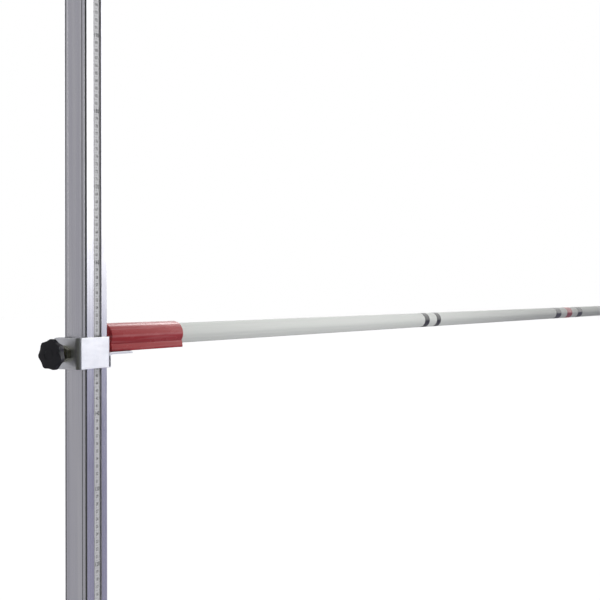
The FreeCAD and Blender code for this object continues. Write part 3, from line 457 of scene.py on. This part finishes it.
# %% [markdown]
# Printing ink. The numerals are screen printed in a dark grey that is flatter than the film.
# Weather rubs it thin in places, so it isn't the same black all along.

# %% Printing ink
ink, tree = new_material("weathered printing ink")
rubbed = grain(tree, 8, 8, 22, 3.0)
tint = add(tree, "Mix", {"Factor": rubbed, "A": "#1A1A1C", "B": "#3C3C40"}, data_type="RGBA")
surface(ink, tint, 0.5, {"IOR": 1.5}, rubbed, 0.01, 0.05)


# %% [markdown]
# Glass fibre. The crossbar is a pultruded tube: rovings are pulled through polyester resin, so
# fibres run the whole length and show as faint long streaks under a pale gel. Real rovings are
# about 1 mm wide and are drawn 2 mm wide.

# %% Glass fibre tube
glass_fibre, tree = new_material("pultruded glass fibre")
rovings = grain(tree, 700, 2.0, 2.0, 3.0)
patches = grain(tree, 160, 20, 20)
fibre = add(tree, "Mix", {"Factor": rovings, "A": "#C4C6C3", "B": "#D8DAD7"}, data_type="RGBA")
patch_share = add(tree, "MapRange", {"Value": patches, "From Min": 0.4, "From Max": 0.7, "To Max": 0.4})
tint = add(tree, "Mix", {"Factor": patch_share.outputs[0], "A": fibre.outputs["Result"], "B": "#CDD1CC"},
           data_type="RGBA")
gloss = add(tree, "MapRange", {"Value": rovings, **NOISE_SPAN, "To Min": 0.42, "To Max": 0.56})
surface(glass_fibre, tint, gloss, {"IOR": 1.55, "Specular IOR Level": 0.3}, rovings, 0.03, 0.4)


# %% [markdown]
# Vinyl film. The bar's bands are soft PVC tape wound once round it, glossier than the tube.
# Black and red are the same film in two colours, so one function makes both.

# %% Vinyl film
def vinyl_film(name, dark, light):
    material, tree = new_material(name)
    stretch = grain(tree, 1.4, 14, 14, 3.0)
    tint = add(tree, "Mix", {"Factor": stretch, "A": dark, "B": light}, data_type="RGBA")
    gloss = add(tree, "MapRange", {"Value": stretch, **NOISE_SPAN, "To Min": 0.28, "To Max": 0.4})
    surface(material, tint, gloss, {"IOR": 1.53}, stretch, 0.03, 0.1)
    return material


black_vinyl = vinyl_film("black vinyl film", "#151517", "#222224")
red_vinyl = vinyl_film("red vinyl film", "#8E1C26", "#A62A33")


# %% [markdown]
# Soft PVC. The end piece is a dark red moulding that sun and handling have faded. The dye goes
# pale where the surface rubs, in whitish streaks along the piece. One long pale line at the
# height of the axis, where the piece is widest, is a painted highlight. The skin stays slightly
# waxy, so it shines pink.

# %% Faded red PVC
red_pvc, tree = new_material("faded red soft PVC")
streaks = grain(tree, 90, 3.2, 3.2, 3.0)
rubs = grain(tree, 30, 9, 9, 4.0)
skin_marks = grain(tree, 5, 2.5, 2.5, 3.0)
base = add(tree, "Mix", {"Factor": rubs, "A": "#8C2226", "B": "#A0383C"}, data_type="RGBA")
chalk = add(tree, "MapRange", {"Value": streaks, "From Min": 0.48, "From Max": 0.72, "To Max": 0.28})
# A painted highlight: a pale line along the piece just above its axis, broken up by noise and mixed into the
# colour with the chalk streaks.
PAINTED_HIGHLIGHT_HEIGHT = 0.5
PAINTED_HIGHLIGHT_HALF = 2.6
level = add(tree, "SeparateXYZ", {"Vector": add(tree, "TexCoord").outputs["Object"]}).outputs["Z"]
from_line = add(tree, "Math", {0: level, 1: BAR.z + mm(PAINTED_HIGHLIGHT_HEIGHT)}, operation="SUBTRACT")
off_line = add(tree, "Math", {0: from_line.outputs[0]}, operation="ABSOLUTE")
painted_highlight = add(tree, "MapRange", {"Value": off_line.outputs[0], "From Max": mm(PAINTED_HIGHLIGHT_HALF),
                                   "To Min": 0.75,
                                   "To Max": 0.0})
painted_highlight_share = add(tree, "Math", {0: painted_highlight.outputs[0], 1: rubs}, operation="MULTIPLY")
chalk_and_painted_highlight = add(tree, "Math", {0: painted_highlight_share.outputs[0], 1: chalk.outputs[0]}, operation="MAXIMUM")
tint = add(tree, "Mix", {"Factor": chalk_and_painted_highlight.outputs[0], "A": base.outputs["Result"], "B": "#C08083"},
           data_type="RGBA")
gloss = add(tree, "MapRange", {"Value": rubs, **NOISE_SPAN, "To Min": 0.22, "To Max": 0.3})
surface(red_pvc, tint, gloss, {"IOR": 1.53, "Specular IOR Level": 0.22}, skin_marks, 0.025, 0.3)


# %% [markdown]
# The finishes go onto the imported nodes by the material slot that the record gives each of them.
# A node keeps its shape and place, and only what covers it changes.

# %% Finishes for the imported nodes
FINISHES = {
    "anodised_aluminium": anodised,
    "black_plastic": cap_plastic,
    "measuring_tape": tape_film,
    "base_enamel": powder_coat,
    "zinc_steel": zinc_steel,
    "zinc_sheet": zinc_sheet,
    "pressure_pad": pad_plastic,
    "knob_plastic": phenolic,
    "foot_rubber": rubber,
    "glass_fibre": glass_fibre,
    "red_end_piece": red_pvc,
}
for subpart in frame["record"]["subparts"]:
    node = frame["nodes"][subpart["node"]]
    node.data.materials.clear()
    node.data.materials.append(FINISHES[subpart["material_slot"]])
print("finishes", len(FINISHES))


# %% [markdown]
# Most of the fine pieces are turned parts, so they are made the way a lathe makes them: rings of
# points about an axis, joined by faces. A ring's reach can also change with the angle, which
# turns the same rings into a hexagon or a screw thread. Normals are worked out afterwards, and
# an edge sharper than the given angle stays crisp.

# %% Mesh helpers
def new_piece(name, points, faces, body, material, crease=40):
    mesh = bpy.data.meshes.new(name)
    mesh.from_pydata(points, [], faces)
    shape = bmesh.new()
    shape.from_mesh(mesh)
    bmesh.ops.recalc_face_normals(shape, faces=shape.faces)
    shape.to_mesh(mesh)
    shape.free()
    mesh.materials.append(material)
    mesh.polygons.foreach_set("use_smooth", [True] * len(mesh.polygons))
    mesh.set_sharp_from_angle(angle=math.radians(crease))
    piece = bpy.data.objects.new(name, mesh)
    bpy.context.scene.collection.objects.link(piece)
    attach(piece, body)
    return piece


def rings_about(foot, axis, stations, steps):
    """Rings of points. A station is a reach, or a function of the angle, and a place along the axis."""
    axis = Vector(axis)
    first = axis.orthogonal().normalized()
    second = axis.cross(first)
    rings = []
    for reach, along in stations:
        ring = []
        for step in range(steps):
            angle = math.tau * step / steps
            length = reach(angle) if callable(reach) else reach
            outwards = first * math.cos(angle) + second * math.sin(angle)
            ring.append(foot + axis * mm(along) + outwards * mm(length))
        rings.append(ring)
    return rings


def skin(rings, loop=False):
    """Points and faces of a closed skin over the rings, capped at both ends or joined into a loop."""
    count = len(rings[0])
    points = [point for ring in rings for point in ring]
    faces = []
    for row in range(len(rings) if loop else len(rings) - 1):
        start, above = row * count, (row + 1) % len(rings) * count
        for step in range(count):
            after = (step + 1) % count
            faces.append((start + step, start + after, above + after, above + step))
    if not loop:
        faces.append(tuple(reversed(range(count))))
        faces.append(tuple(range(len(points) - count, len(points))))
    return points, faces


def join(parts):
    """Several points and faces as one."""
    points, faces = [], []
    for some_points, some_faces in parts:
        offset = len(points)
        points.extend(some_points)
        faces.extend(tuple(index + offset for index in face) for face in some_faces)
    return points, faces


# The turns of a quarter round, for edges that are broken in four steps
QUARTER = [math.pi / 2 * step / 4 for step in range(5)]


# %% [markdown]
# The printed scale reads the height above the floor in centimetres. A numeral stands at every
# centimetre, the full height stands larger at every decimetre, a dash marks each half, and
# ticks mark the millimetres, longer ones at the left edge and shorter ones at the right. The
# numerals are the ten digits of Blender's own font, each turned into a flat mesh once and then
# placed by a loop. They lie a hair in front of the film, as ink does.

# %% Ten digits as flat shapes
BOLD = 0.022


def digit_shape(character):
    """Points, as x and y for a font size of 1, and faces of one digit."""
    curve = bpy.data.curves.new("digit", "FONT")
    curve.body = character
    curve.resolution_u = 2
    curve.offset = BOLD
    text = bpy.data.objects.new("digit", curve)
    bpy.context.scene.collection.objects.link(text)
    mesh = bpy.data.meshes.new_from_object(text)
    points = [tuple(vertex.co.xy) for vertex in mesh.vertices]
    faces = [tuple(face.vertices) for face in mesh.polygons]
    bpy.data.objects.remove(text)
    bpy.data.curves.remove(curve)
    bpy.data.meshes.remove(mesh)
    return points, faces


DIGITS = {character: digit_shape(character) for character in "0123456789"}
CAP_HEIGHT = 0.69
DIGIT_STEP = 0.56
print("digit points", {character: len(shape[0]) for character, shape in DIGITS.items()})


# %% The printed scale
NUMERAL = 4.0
DECIMETRE_NUMERAL = 5.4
NARROW = 0.72
NUMERAL_SHIFT = 0.8
TICK_LINE = 0.38
TICK = 1.4
LONG_TICK = 2.0
LEFT_TICK = 2.5
LEFT_LONG_TICK = 3.2
HALF_DASH = 2.4
EDGE_MARGIN = 0.3
INK_LIFT = 0.03
END_MARGIN = 6


def printed_number(number, height, centre, level):
    """A number in millimetres about its middle, as points in a plane and faces."""
    size = height / CAP_HEIGHT
    text = "%d" % number if number >= 100 else "%02d" % number
    step = size * DIGIT_STEP * NARROW
    start = centre - step * len(text) / 2
    parts = []
    for place, character in enumerate(text):
        points, faces = DIGITS[character]
        left = start + step * place
        parts.append(([(left + size * NARROW * x, level - height / 2 + size * y) for x, y in points], faces))
    return join(parts)


def stroke(left, right, level):
    low, high = level - TICK_LINE / 2, level + TICK_LINE / 2
    return [(left, low), (right, low), (right, high), (left, high)], [(0, 1, 2, 3)]


def printed_scale(side):
    low, high = (corner * 1000 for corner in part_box(side + "_height_tape"))
    middle = (low.x + high.x) / 2
    left, right = low.x + EDGE_MARGIN, high.x - EDGE_MARGIN
    marks = []
    for level in range(math.ceil(low.z + END_MARGIN), int(high.z - END_MARGIN) + 1):
        whole, half = level % 10 == 0, level % 5 == 0
        marks.append(stroke(left, left + (LEFT_LONG_TICK if half else LEFT_TICK), level))
        marks.append(stroke(right - (LONG_TICK if half else TICK), right, level))
        if whole and level % 100 == 0:
            marks.append(printed_number(level // 10, DECIMETRE_NUMERAL, middle + NUMERAL_SHIFT, level))
        elif whole:
            marks.append(printed_number(level // 10 % 100, NUMERAL, middle + NUMERAL_SHIFT, level))
        elif half:
            marks.append(stroke(middle - HALF_DASH / 2, middle + HALF_DASH / 2, level))
    flat, faces = join(marks)
    points = [Vector((mm(x), mm(low.y - INK_LIFT), mm(z))) for x, z in flat]
    piece = new_piece(side + "_printed_scale", points, faces, side + "_standard", ink)
    print(piece.name, "points", len(points))


for side in SIDES:
    printed_scale(side)


# %% [markdown]
# Vinyl bands mark the middle of the bar and both of its halves: two black bands on each half
# and a red one between two black ones at the middle. Each is one turn of tape, so its end
# lies on its start in a low step, behind the bar where it shows least.

# %% Bands on the crossbar
BAR_RADIUS = 1000 * (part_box("crossbar_tube")[1].z - BAR.z)
FILM = 0.16
FILM_SHOULDER = 0.6
OVERLAP = math.radians(22)
BAND_STEPS = 96
BANDS = [("middle", red_vinyl, -23, 23)]
for name, sign in (("left", -1), ("right", 1)):
    BANDS.append((name + "_inner", black_vinyl, sign * 77, sign * 120))
    BANDS.append((name + "_half_near", black_vinyl, sign * 908, sign * 929))
    BANDS.append((name + "_half_far", black_vinyl, sign * 967, sign * 990))


def wound(lift):
    """The reach of one turn of film whose end lies over its start."""
    return lambda angle: BAR_RADIUS + lift * (2 if angle < OVERLAP else 1)


for name, material, start, end in BANDS:
    first, last = min(start, end), max(start, end)
    edge = FILM / 2
    shoulder = wound(FILM * FILM_SHOULDER)
    stations = [(BAR_RADIUS - FILM, first), (shoulder, first), (wound(FILM), first + edge),
                (wound(FILM), last - edge), (shoulder, last), (BAR_RADIUS - FILM, last)]
    foot = Vector((0, BAR.y, BAR.z))
    points, faces = skin(rings_about(foot, (1, 0, 0), stations, BAND_STEPS), loop=True)
    new_piece("band_" + name, points, faces, "crossbar", material, crease=30)
print("bands", len(BANDS), "on a tube of radius %.2f mm" % BAR_RADIUS)


# %% [markdown]
# Each end of the bar wears a moulded end piece: a round barrel over the tube, with a flat strip
# below that rests on the support. One outline across the piece is repeated along it and drawn in
# a little at both ends, which breaks their edges as a mould does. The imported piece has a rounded
# corner where the tube comes out. A longer look at the photograph shows a plain square end there,
# so this one takes its place. A narrow lamp high behind the bar draws the bright line on its top.

# %% Moulded end pieces
END_ROUND = 18.3
STRIP_DROP = 20
STRIP_HALF = 17.5
STRIP_TOP_HALF = 16.4
STRIP_HEIGHT = 8.7
NECK_RISE = 1.4
STRIP_EDGE = 1
END_EDGE = 0.9
CLOSED_END = 4
TUBE_CLEARANCE = 0.05
MOUTH_EDGE = 0.5
ROUND_STEPS = 28


def end_outline():
    """The outline across the piece, as pairs of y and z in millimetres from the bar's axis."""
    half = [(STRIP_HALF - STRIP_EDGE * (1 - math.sin(turn)), -STRIP_DROP + STRIP_EDGE * (1 - math.cos(turn)))
            for turn in QUARTER]
    half.append((STRIP_TOP_HALF, STRIP_HEIGHT - STRIP_DROP))
    start = math.asin((STRIP_HEIGHT + NECK_RISE - STRIP_DROP) / END_ROUND)
    for step in range(ROUND_STEPS + 1):
        angle = start + (math.pi / 2 - start) * step / ROUND_STEPS
        half.append((END_ROUND * math.cos(angle), END_ROUND * math.sin(angle)))
    return half + [(-y, z) for y, z in reversed(half[:-1])]


def end_rings(outer_x, inward, length):
    """Rings from the closed end, over the open end and down the bore to its floor."""
    outline = end_outline()
    bore = BAR_RADIUS + TUBE_CLEARANCE

    def ring(along, points):
        return [Vector((outer_x + inward * mm(along), BAR.y + mm(y), BAR.z + mm(z))) for y, z in points]

    def drawn_in(edge):
        return [(y * (1 - edge / END_ROUND), z * (1 - edge / END_ROUND)) for y, z in outline]

    def circle(radius):
        angles = [math.atan2(z, y) for y, z in outline]
        return [(radius * math.cos(angle), radius * math.sin(angle)) for angle in angles]

    rings = [ring(END_EDGE * (1 - math.cos(turn)), drawn_in(END_EDGE * (1 - math.sin(turn))))
             for turn in QUARTER]
    rings += [ring(length - END_EDGE * (1 - math.sin(turn)), drawn_in(END_EDGE * (1 - math.cos(turn))))
              for turn in QUARTER]
    rings += [ring(length, circle(bore + MOUTH_EDGE)), ring(length - MOUTH_EDGE, circle(bore))]
    return rings + [ring(CLOSED_END, circle(bore))]


end_pieces = []
for side, sign in SIDES.items():
    low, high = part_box(side + "_bar_end")
    points, faces = skin(end_rings(low.x if sign < 0 else high.x, -sign, 1000 * (high.x - low.x)))
    piece = new_piece(side + "_moulded_end_piece", points, faces, "crossbar", red_pvc,
                      crease=30)
    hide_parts(side + "_bar_end")
    end_pieces.append(piece)
crown = soft_box("crown", (-0.48, 0.36, 2.75), (-1.95, -0.01, 1.515), (0.35, 1.0), 3.0, 120, True)
light_only(crown, end_pieces)
print("end pieces", len(end_pieces), "of %.0f mm" % (1000 * (high.x - low.x)))


# %% [markdown]
# The clamp and levelling screws are M12 threads of 1.75 mm pitch. A thread is a ring whose reach
# goes down and up once a turn, shifted a little further at every step along the screw. Heads
# and nuts are hexagons whose corners are turned off at 30 degrees, which gives the curved
# edges of a real nut: the chamfer reaches lower where the corner is further out.

# %% Thread and hexagon
PITCH = 1.75
THREAD_DEPTH = 1.0
CREST = 0.2
THREAD_ROWS = 8
THREAD_STEPS = 40
LEAD_IN = 1.6
LEAD_SLOPE = 0.7
CHAMFER = math.tan(math.radians(30))
CHAMFER_START = 0.96
HOLE_CHAMFER = 0.8
M12_CORNER = 10.9
M12_BORE = 5.9


def thread_reach(radius, along, start, end):
    """The reach by angle of a thread at a place along it, with a lead-in at both ends."""
    limit = radius - max(0.0, LEAD_IN - min(along - start, end - along)) * LEAD_SLOPE

    def reach(angle):
        phase = (along / PITCH - angle / math.tau) % 1.0
        ramp = abs(2 * phase - 1)
        groove = min(1.0, max(0.0, (ramp - CREST) / (1 - 2 * CREST)))
        return min(radius - THREAD_DEPTH * groove, limit)
    return reach


def thread_stations(radius, start, end):
    rows = math.ceil((end - start) / PITCH * THREAD_ROWS)
    levels = [start + (end - start) * row / rows for row in range(rows + 1)]
    return [(thread_reach(radius, level, start, end), level) for level in levels]


def hexagon(corner, shrink=0.0):
    """The reach of a hexagon's sides by angle."""
    flat = corner * math.cos(math.pi / 6) - shrink
    return lambda angle: flat / math.cos((angle + math.pi / 6) % (math.pi / 3) - math.pi / 6)


def hexagon_rings(foot, axis, corner, start, end, steps=72, both_ends=True, hole=0.0, turned=0.0):
    """Rings of a chamfered hexagon from start to end along the axis."""
    axis = Vector(axis)
    reach = hexagon(corner)
    inner = corner * math.cos(math.pi / 6) * CHAMFER_START
    first = axis.orthogonal().normalized()
    second = axis.cross(first)

    def ring(level, slope, limit=None):
        points = []
        for step in range(steps):
            angle = math.tau * step / steps
            length = reach(angle - turned) if limit is None else limit
            along = level - slope * (length - inner) * CHAMFER
            outwards = first * math.cos(angle) + second * math.sin(angle)
            points.append(foot + axis * mm(along) + outwards * mm(length))
        return points

    rings = [ring(start, 0, inner), ring(start, -1)] if both_ends else [ring(start, 0)]
    rings += [ring(end, 1), ring(end, 0, inner)]
    if hole:
        mouth = hole + HOLE_CHAMFER
        rings = [ring(start, 0, mouth)] + rings + [ring(end, 0, mouth)]
        rings += [ring(end - HOLE_CHAMFER, 0, hole), ring(start + HOLE_CHAMFER, 0, hole)]
    return rings


# %% Clamp screws
TIP_RADIUS = 4
TIP_EDGE = 0.6
for side, sign in SIDES.items():
    low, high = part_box(side + "_clamp_screw")
    middle = middle_of(side + "_clamp_screw")
    radius = 1000 * (high.z - middle.z)
    inner_x, outer_x = (high.x, low.x) if sign < 0 else (low.x, high.x)
    length = 1000 * abs(outer_x - inner_x)
    shoulder = 1000 * abs(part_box(side + "_clamp_pad")[0 if sign < 0 else 1].x - inner_x)
    foot = Vector((inner_x, middle.y, middle.z))
    stations = [(TIP_RADIUS - TIP_EDGE, 0), (TIP_RADIUS, TIP_EDGE), (TIP_RADIUS, shoulder)]
    stations += thread_stations(radius, shoulder + 0.1, length)
    points, faces = skin(rings_about(foot, (sign, 0, 0), stations, THREAD_STEPS))
    screw = new_piece(side + "_threaded_clamp_screw", points, faces, side + "_knob", zinc_steel)
    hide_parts(side + "_clamp_screw")
    print(screw.name, "length %.1f mm, shoulder at %.1f mm" % (length, shoulder))


# %% [markdown]
# The star knob is pressed in a mould with seven lobes. Between two lobes the rim runs nearly
# straight, with a shallow hollow for a fingertip, so from the front it looks like a heptagon with
# blunt corners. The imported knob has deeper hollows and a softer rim, so this one takes its place.
# Its face is crowned, and a small groove shows where the metal insert sits. Two small lamps in
# front, one high and one low, give the polished rim its bright points.

# %% Star knobs
LOBES = 7
LOBE_REACH = 20.3
RIM_SIDE = 18.9
HOLLOW = 0.7
KNOB_TURN = math.radians(26.4)
HUB_RADIUS = 9.5
HUB_EDGE = 0.5
HUB_HEIGHT = 3.6
KNOB_BORE = 6.05
BORE_DEPTH = 9
RIM_BACK = 7.4
RIM_FACE = 15.4
RIM_EDGE = 1.1
# The crowned face with its groove, as pairs of a reach and a depth below the highest point
CROWN = [(14, 0.7), (9, 0.1), (7.8, 0), (7.4, 0.5), (6.8, 0.5), (6.4, 0), (1, 0)]


def lobed(shrink):
    """The reach of the knob's rim by angle."""
    def reach(angle):
        off_side = (angle - KNOB_TURN) % (math.tau / LOBES) - math.pi / LOBES
        side_reach = RIM_SIDE / math.cos(off_side) - HOLLOW * math.cos(LOBES * off_side / 2) ** 2
        return min(side_reach, LOBE_REACH) - shrink
    return reach


rim = [(lobed(RIM_EDGE * (1 - math.sin(turn))), RIM_BACK + RIM_EDGE * (1 - math.cos(turn)))
       for turn in QUARTER]
rim += [(lobed(RIM_EDGE * (1 - math.cos(turn))), RIM_FACE - RIM_EDGE * (1 - math.sin(turn)))
        for turn in QUARTER]
knobs = []
for side, sign in SIDES.items():
    low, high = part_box(side + "_star_knob")
    screw_axis = middle_of(side + "_clamp_screw")
    face = 1000 * (high.x - low.x)
    foot = Vector((high.x if sign < 0 else low.x, screw_axis.y, screw_axis.z))
    stations = [(KNOB_BORE, BORE_DEPTH), (KNOB_BORE, 0)]
    stations += [(HUB_RADIUS - HUB_EDGE, 0), (HUB_RADIUS, HUB_EDGE), (HUB_RADIUS, HUB_HEIGHT)]
    stations += rim + [(reach, face - depth) for reach, depth in CROWN]
    points, faces = skin(rings_about(foot, (sign, 0, 0), stations, 16 * LOBES))
    knob = new_piece(side + "_moulded_star_knob", points, faces, side + "_knob", phenolic,
                     crease=30)
    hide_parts(side + "_star_knob")
    knobs.append(knob)
for name, height, power in (("spark_high", 2.1, 40), ("spark_low", 0.85, 16)):
    light_only(soft_box(name, (-2.9, -2.4, height), (-2.1, 0, 1.48), (0.22, 0.22), power, 90, True), knobs)
print("knobs", len(knobs), "with", LOBES, "lobes, %.1f mm deep" % face)


# %% [markdown]
# The nut that the clamp screw runs in is welded to the outside of the sleeve. It is a hexagon nut
# with a round spigot that sits in the hole of the sheet, so it can't shift while it is welded.

# %% Weld nuts
WELD_NUT_HEIGHT = 8
SPIGOT_RADIUS = 8.5
SHEET = 2.5
NUT_TURN = math.radians(45)
for side, sign in SIDES.items():
    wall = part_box(side + "_sleeve")[0 if sign < 0 else 1].x
    middle = middle_of(side + "_clamp_screw")
    foot = Vector((wall, middle.y, middle.z))
    nut = hexagon_rings(foot, (sign, 0, 0), M12_CORNER, 0, WELD_NUT_HEIGHT, hole=M12_BORE, turned=NUT_TURN)
    stations = [(M12_BORE, -SHEET), (SPIGOT_RADIUS, -SHEET), (SPIGOT_RADIUS, 0), (M12_BORE, 0)]
    spigot = rings_about(foot, (sign, 0, 0), stations, 64)
    points, faces = join([skin(nut, loop=True), skin(spigot, loop=True)])
    piece = new_piece(side + "_hexagon_weld_nut", points, faces, side + "_slider", zinc_steel)
    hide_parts(side + "_weld_nut")
print("weld nuts %.0f mm high" % WELD_NUT_HEIGHT)


# %% [markdown]
# Each foot is levelled with an M12 screw. A spanner turns its head, which is above the tube, and
# a nut on the tube locks it. Head and nut are the same hexagon as before.

# %% Levelling screws
FOOT_HEAD = 8
FOOT_THREAD = 6
THREAD_END = 1.2
for side in SIDES:
    for name in FEET:
        node = "%s_%s_foot_screw" % (side, name)
        low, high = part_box(node)
        centre = middle_of(node)
        foot = Vector((centre.x, centre.y, low.z))
        length = 1000 * (high.z - low.z)
        head_start = length - FOOT_HEAD
        stations = [(FOOT_THREAD - THREAD_END, 0)] + thread_stations(FOOT_THREAD, 0.05, head_start)
        shank = skin(rings_about(foot, (0, 0, 1), stations, THREAD_STEPS))
        head = skin(hexagon_rings(foot, (0, 0, 1), M12_CORNER, head_start, length, both_ends=False))
        points, faces = join([shank, head])
        body = "%s_%s_foot" % (side, name)
        screw = new_piece("%s_%s_levelling_screw" % (side, name), points, faces, body,
                          zinc_steel)
        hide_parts(node)
print("levelling screws", len(SIDES) * len(FEET), "of length %.1f mm" % length)


# %% Lock nuts on the levelling screws
for side in SIDES:
    low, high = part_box(side + "_foot_lock_nuts")
    parts = []
    for name in FEET:
        over = middle_of("%s_%s_foot_screw" % (side, name))
        foot = Vector((over.x, over.y, low.z))
        rings = hexagon_rings(foot, (0, 0, 1), M12_CORNER, 0, 1000 * (high.z - low.z), hole=M12_BORE)
        parts.append(skin(rings, loop=True))
    points, faces = join(parts)
    nuts = new_piece(side + "_chamfered_lock_nuts", points, faces, side + "_standard",
                     zinc_steel)
    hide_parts(side + "_foot_lock_nuts")
print("lock nuts %.1f mm thick" % (1000 * (high.z - low.z)))


# %% [markdown]
# The rubber feet are turned shapes too: a flat sole with a rounded edge, a straight skirt, and a
# slope up to the neck with three grooves that let the rubber give.

# %% Rubber feet
PAD_RADIUS = 24
PAD_SKIRT = 5
PAD_NECK = 14
PAD_HEIGHT = 16
GROOVES = 3
GROOVE = 0.9
SOCKET = 6.1
SOCKET_FLOOR = 7


def slope_stations():
    """From the skirt up to the neck, with rounded grooves across the slope."""
    stations = []
    rows = 12 * GROOVES
    for row in range(rows + 1):
        share = row / rows
        wave = 0.5 - 0.5 * math.cos(math.tau * GROOVES * share)
        reach = PAD_RADIUS + (PAD_NECK - PAD_RADIUS) * share - GROOVE * wave
        stations.append((reach, PAD_SKIRT + (PAD_HEIGHT - 0.6 - PAD_SKIRT) * share))
    return stations


for side in SIDES:
    for name in FEET:
        node = "%s_%s_foot_pad" % (side, name)
        centre = middle_of(node)
        foot = Vector((centre.x, centre.y, 0))
        stations = [(1, 0), (PAD_RADIUS - 2, 0), (PAD_RADIUS - 0.6, 0.6), (PAD_RADIUS, 2)]
        stations += slope_stations() + [(PAD_NECK - 0.6, PAD_HEIGHT), (SOCKET + 0.5, PAD_HEIGHT)]
        stations += [(SOCKET, PAD_HEIGHT - 0.5), (SOCKET, SOCKET_FLOOR), (1, SOCKET_FLOOR)]
        points, faces = skin(rings_about(foot, (0, 0, 1), stations, 64))
        body = "%s_%s_foot" % (side, name)
        pad = new_piece("%s_%s_grooved_foot" % (side, name), points, faces, body, rubber,
                        crease=50)
        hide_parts(node)
print("grooved feet", len(SIDES) * len(FEET))


# %% [markdown]
# Weld beads. A fillet weld fills the corner between two plates with a bead that shows each step
# of the torch as a small crescent. The bead is a row of rounded sections whose size rises and
# falls once every 2.4 mm. On the base it lies under the powder coat, and on the slider under
# the zinc.

# %% Weld beads
RIPPLE = 2.4
ROWS_A_RIPPLE = 6
BASE_BEAD = 4
GUSSET_BEAD = 3.5
SLIDER_BEAD = 2.2
HALF_PLATE = 2.5
BEAD = ((-0.1, -0.1), (1.0, -0.1), (0.92, 0.3), (0.66, 0.66), (0.3, 0.92), (-0.1, 1.0))


def weld(start, end, wall_a, wall_b, size):
    """A bead in the corner between two walls, each given by the way that it runs out of the corner."""
    start, end, wall_a, wall_b = (Vector(value) for value in (start, end, wall_a, wall_b))
    length = 1000 * (end - start).length
    rows = max(4, round(length / RIPPLE * ROWS_A_RIPPLE))
    rings = []
    for row in range(rows + 1):
        along = length * row / rows
        crest = abs(math.sin(math.pi * along / RIPPLE))
        taper = min(1.0, 0.45 + 0.3 * min(along, length - along))
        reach = mm(size) * (0.84 + 0.16 * crest) * taper
        centre = start.lerp(end, row / rows)
        rings.append([centre + (wall_a * a + wall_b * b) * reach for a, b in BEAD])
    return skin(rings)


def base_welds(side, sign):
    """Beads round the socket's foot, along the gussets and round the spine's end."""
    low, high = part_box(side + "_post_socket")
    gussets_low, gussets_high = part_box(side + "_base_gussets")
    spine_low, spine_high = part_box(side + "_spine_tube")
    centre = middle_of(side + "_post_socket")
    floor = low.z
    up, along, across = Vector((0, 0, 1)), Vector((1, 0, 0)), Vector((0, 1, 0))
    half_plate = mm(HALF_PLATE)
    beads = []
    for x, face in ((low.x, -along), (high.x, along)):
        if (face.x > 0) == (sign < 0):
            beads.append(weld((x, low.y, floor), (x, high.y, floor), face, up, BASE_BEAD))
        else:
            for y, way in ((low.y, -1), (high.y, 1)):
                beads.append(weld((x, y, floor), (x, centre.y + way * half_plate, floor), face, up,
                                  BASE_BEAD))
    for y, face in ((low.y, -across), (high.y, across)):
        for x, way in ((low.x, -1), (high.x, 1)):
            beads.append(weld((x, y, floor), (centre.x + way * half_plate, y, floor), face, up, BASE_BEAD))
        tip = gussets_low.y if face.y < 0 else gussets_high.y
        for way in (-along, along):
            corner_x = centre.x + way.x * half_plate
            beads.append(weld((corner_x, y, floor), (corner_x, tip, floor), way, up, GUSSET_BEAD))
            beads.append(weld((corner_x, y, floor), (corner_x, y, gussets_high.z), way, face, GUSSET_BEAD))
    outer = low.x if sign < 0 else high.x
    tip = gussets_low.x if sign < 0 else gussets_high.x
    for way in (-across, across):
        corner_y = centre.y + way.y * half_plate
        beads.append(weld((outer, corner_y, floor), (tip, corner_y, floor), way, up, GUSSET_BEAD))
        top = (outer, corner_y, gussets_high.z)
        beads.append(weld((outer, corner_y, floor), top, way, along * sign, GUSSET_BEAD))
    joint = spine_high.x if sign < 0 else spine_low.x
    for y, face in ((spine_low.y, -across), (spine_high.y, across)):
        start, end = (joint, y, spine_low.z + mm(BASE_BEAD)), (joint, y, spine_high.z - mm(BASE_BEAD))
        beads.append(weld(start, end, face, along * sign, BASE_BEAD))
    points, faces = join(beads)
    new_piece(side + "_base_welds", points, faces, side + "_standard", powder_coat, crease=60)
    print(side, "base beads", len(beads))


def support_welds(side, sign):
    """Beads down both edges of the support's leg, on the sleeve's wall."""
    low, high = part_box(side + "_bar_support")
    wall = low.x if sign < 0 else high.x
    beads = []
    for y, way in ((low.y, -1), (high.y, 1)):
        foot, top = (wall, y, low.z + mm(1)), (wall, y, high.z - mm(4))
        beads.append(weld(foot, top, (0, way, 0), (-sign, 0, 0), SLIDER_BEAD))
    points, faces = join(beads)
    new_piece(side + "_support_welds", points, faces, side + "_slider", zinc_sheet, crease=60)


for side, sign in SIDES.items():
    base_welds(side, sign)
    support_welds(side, sign)
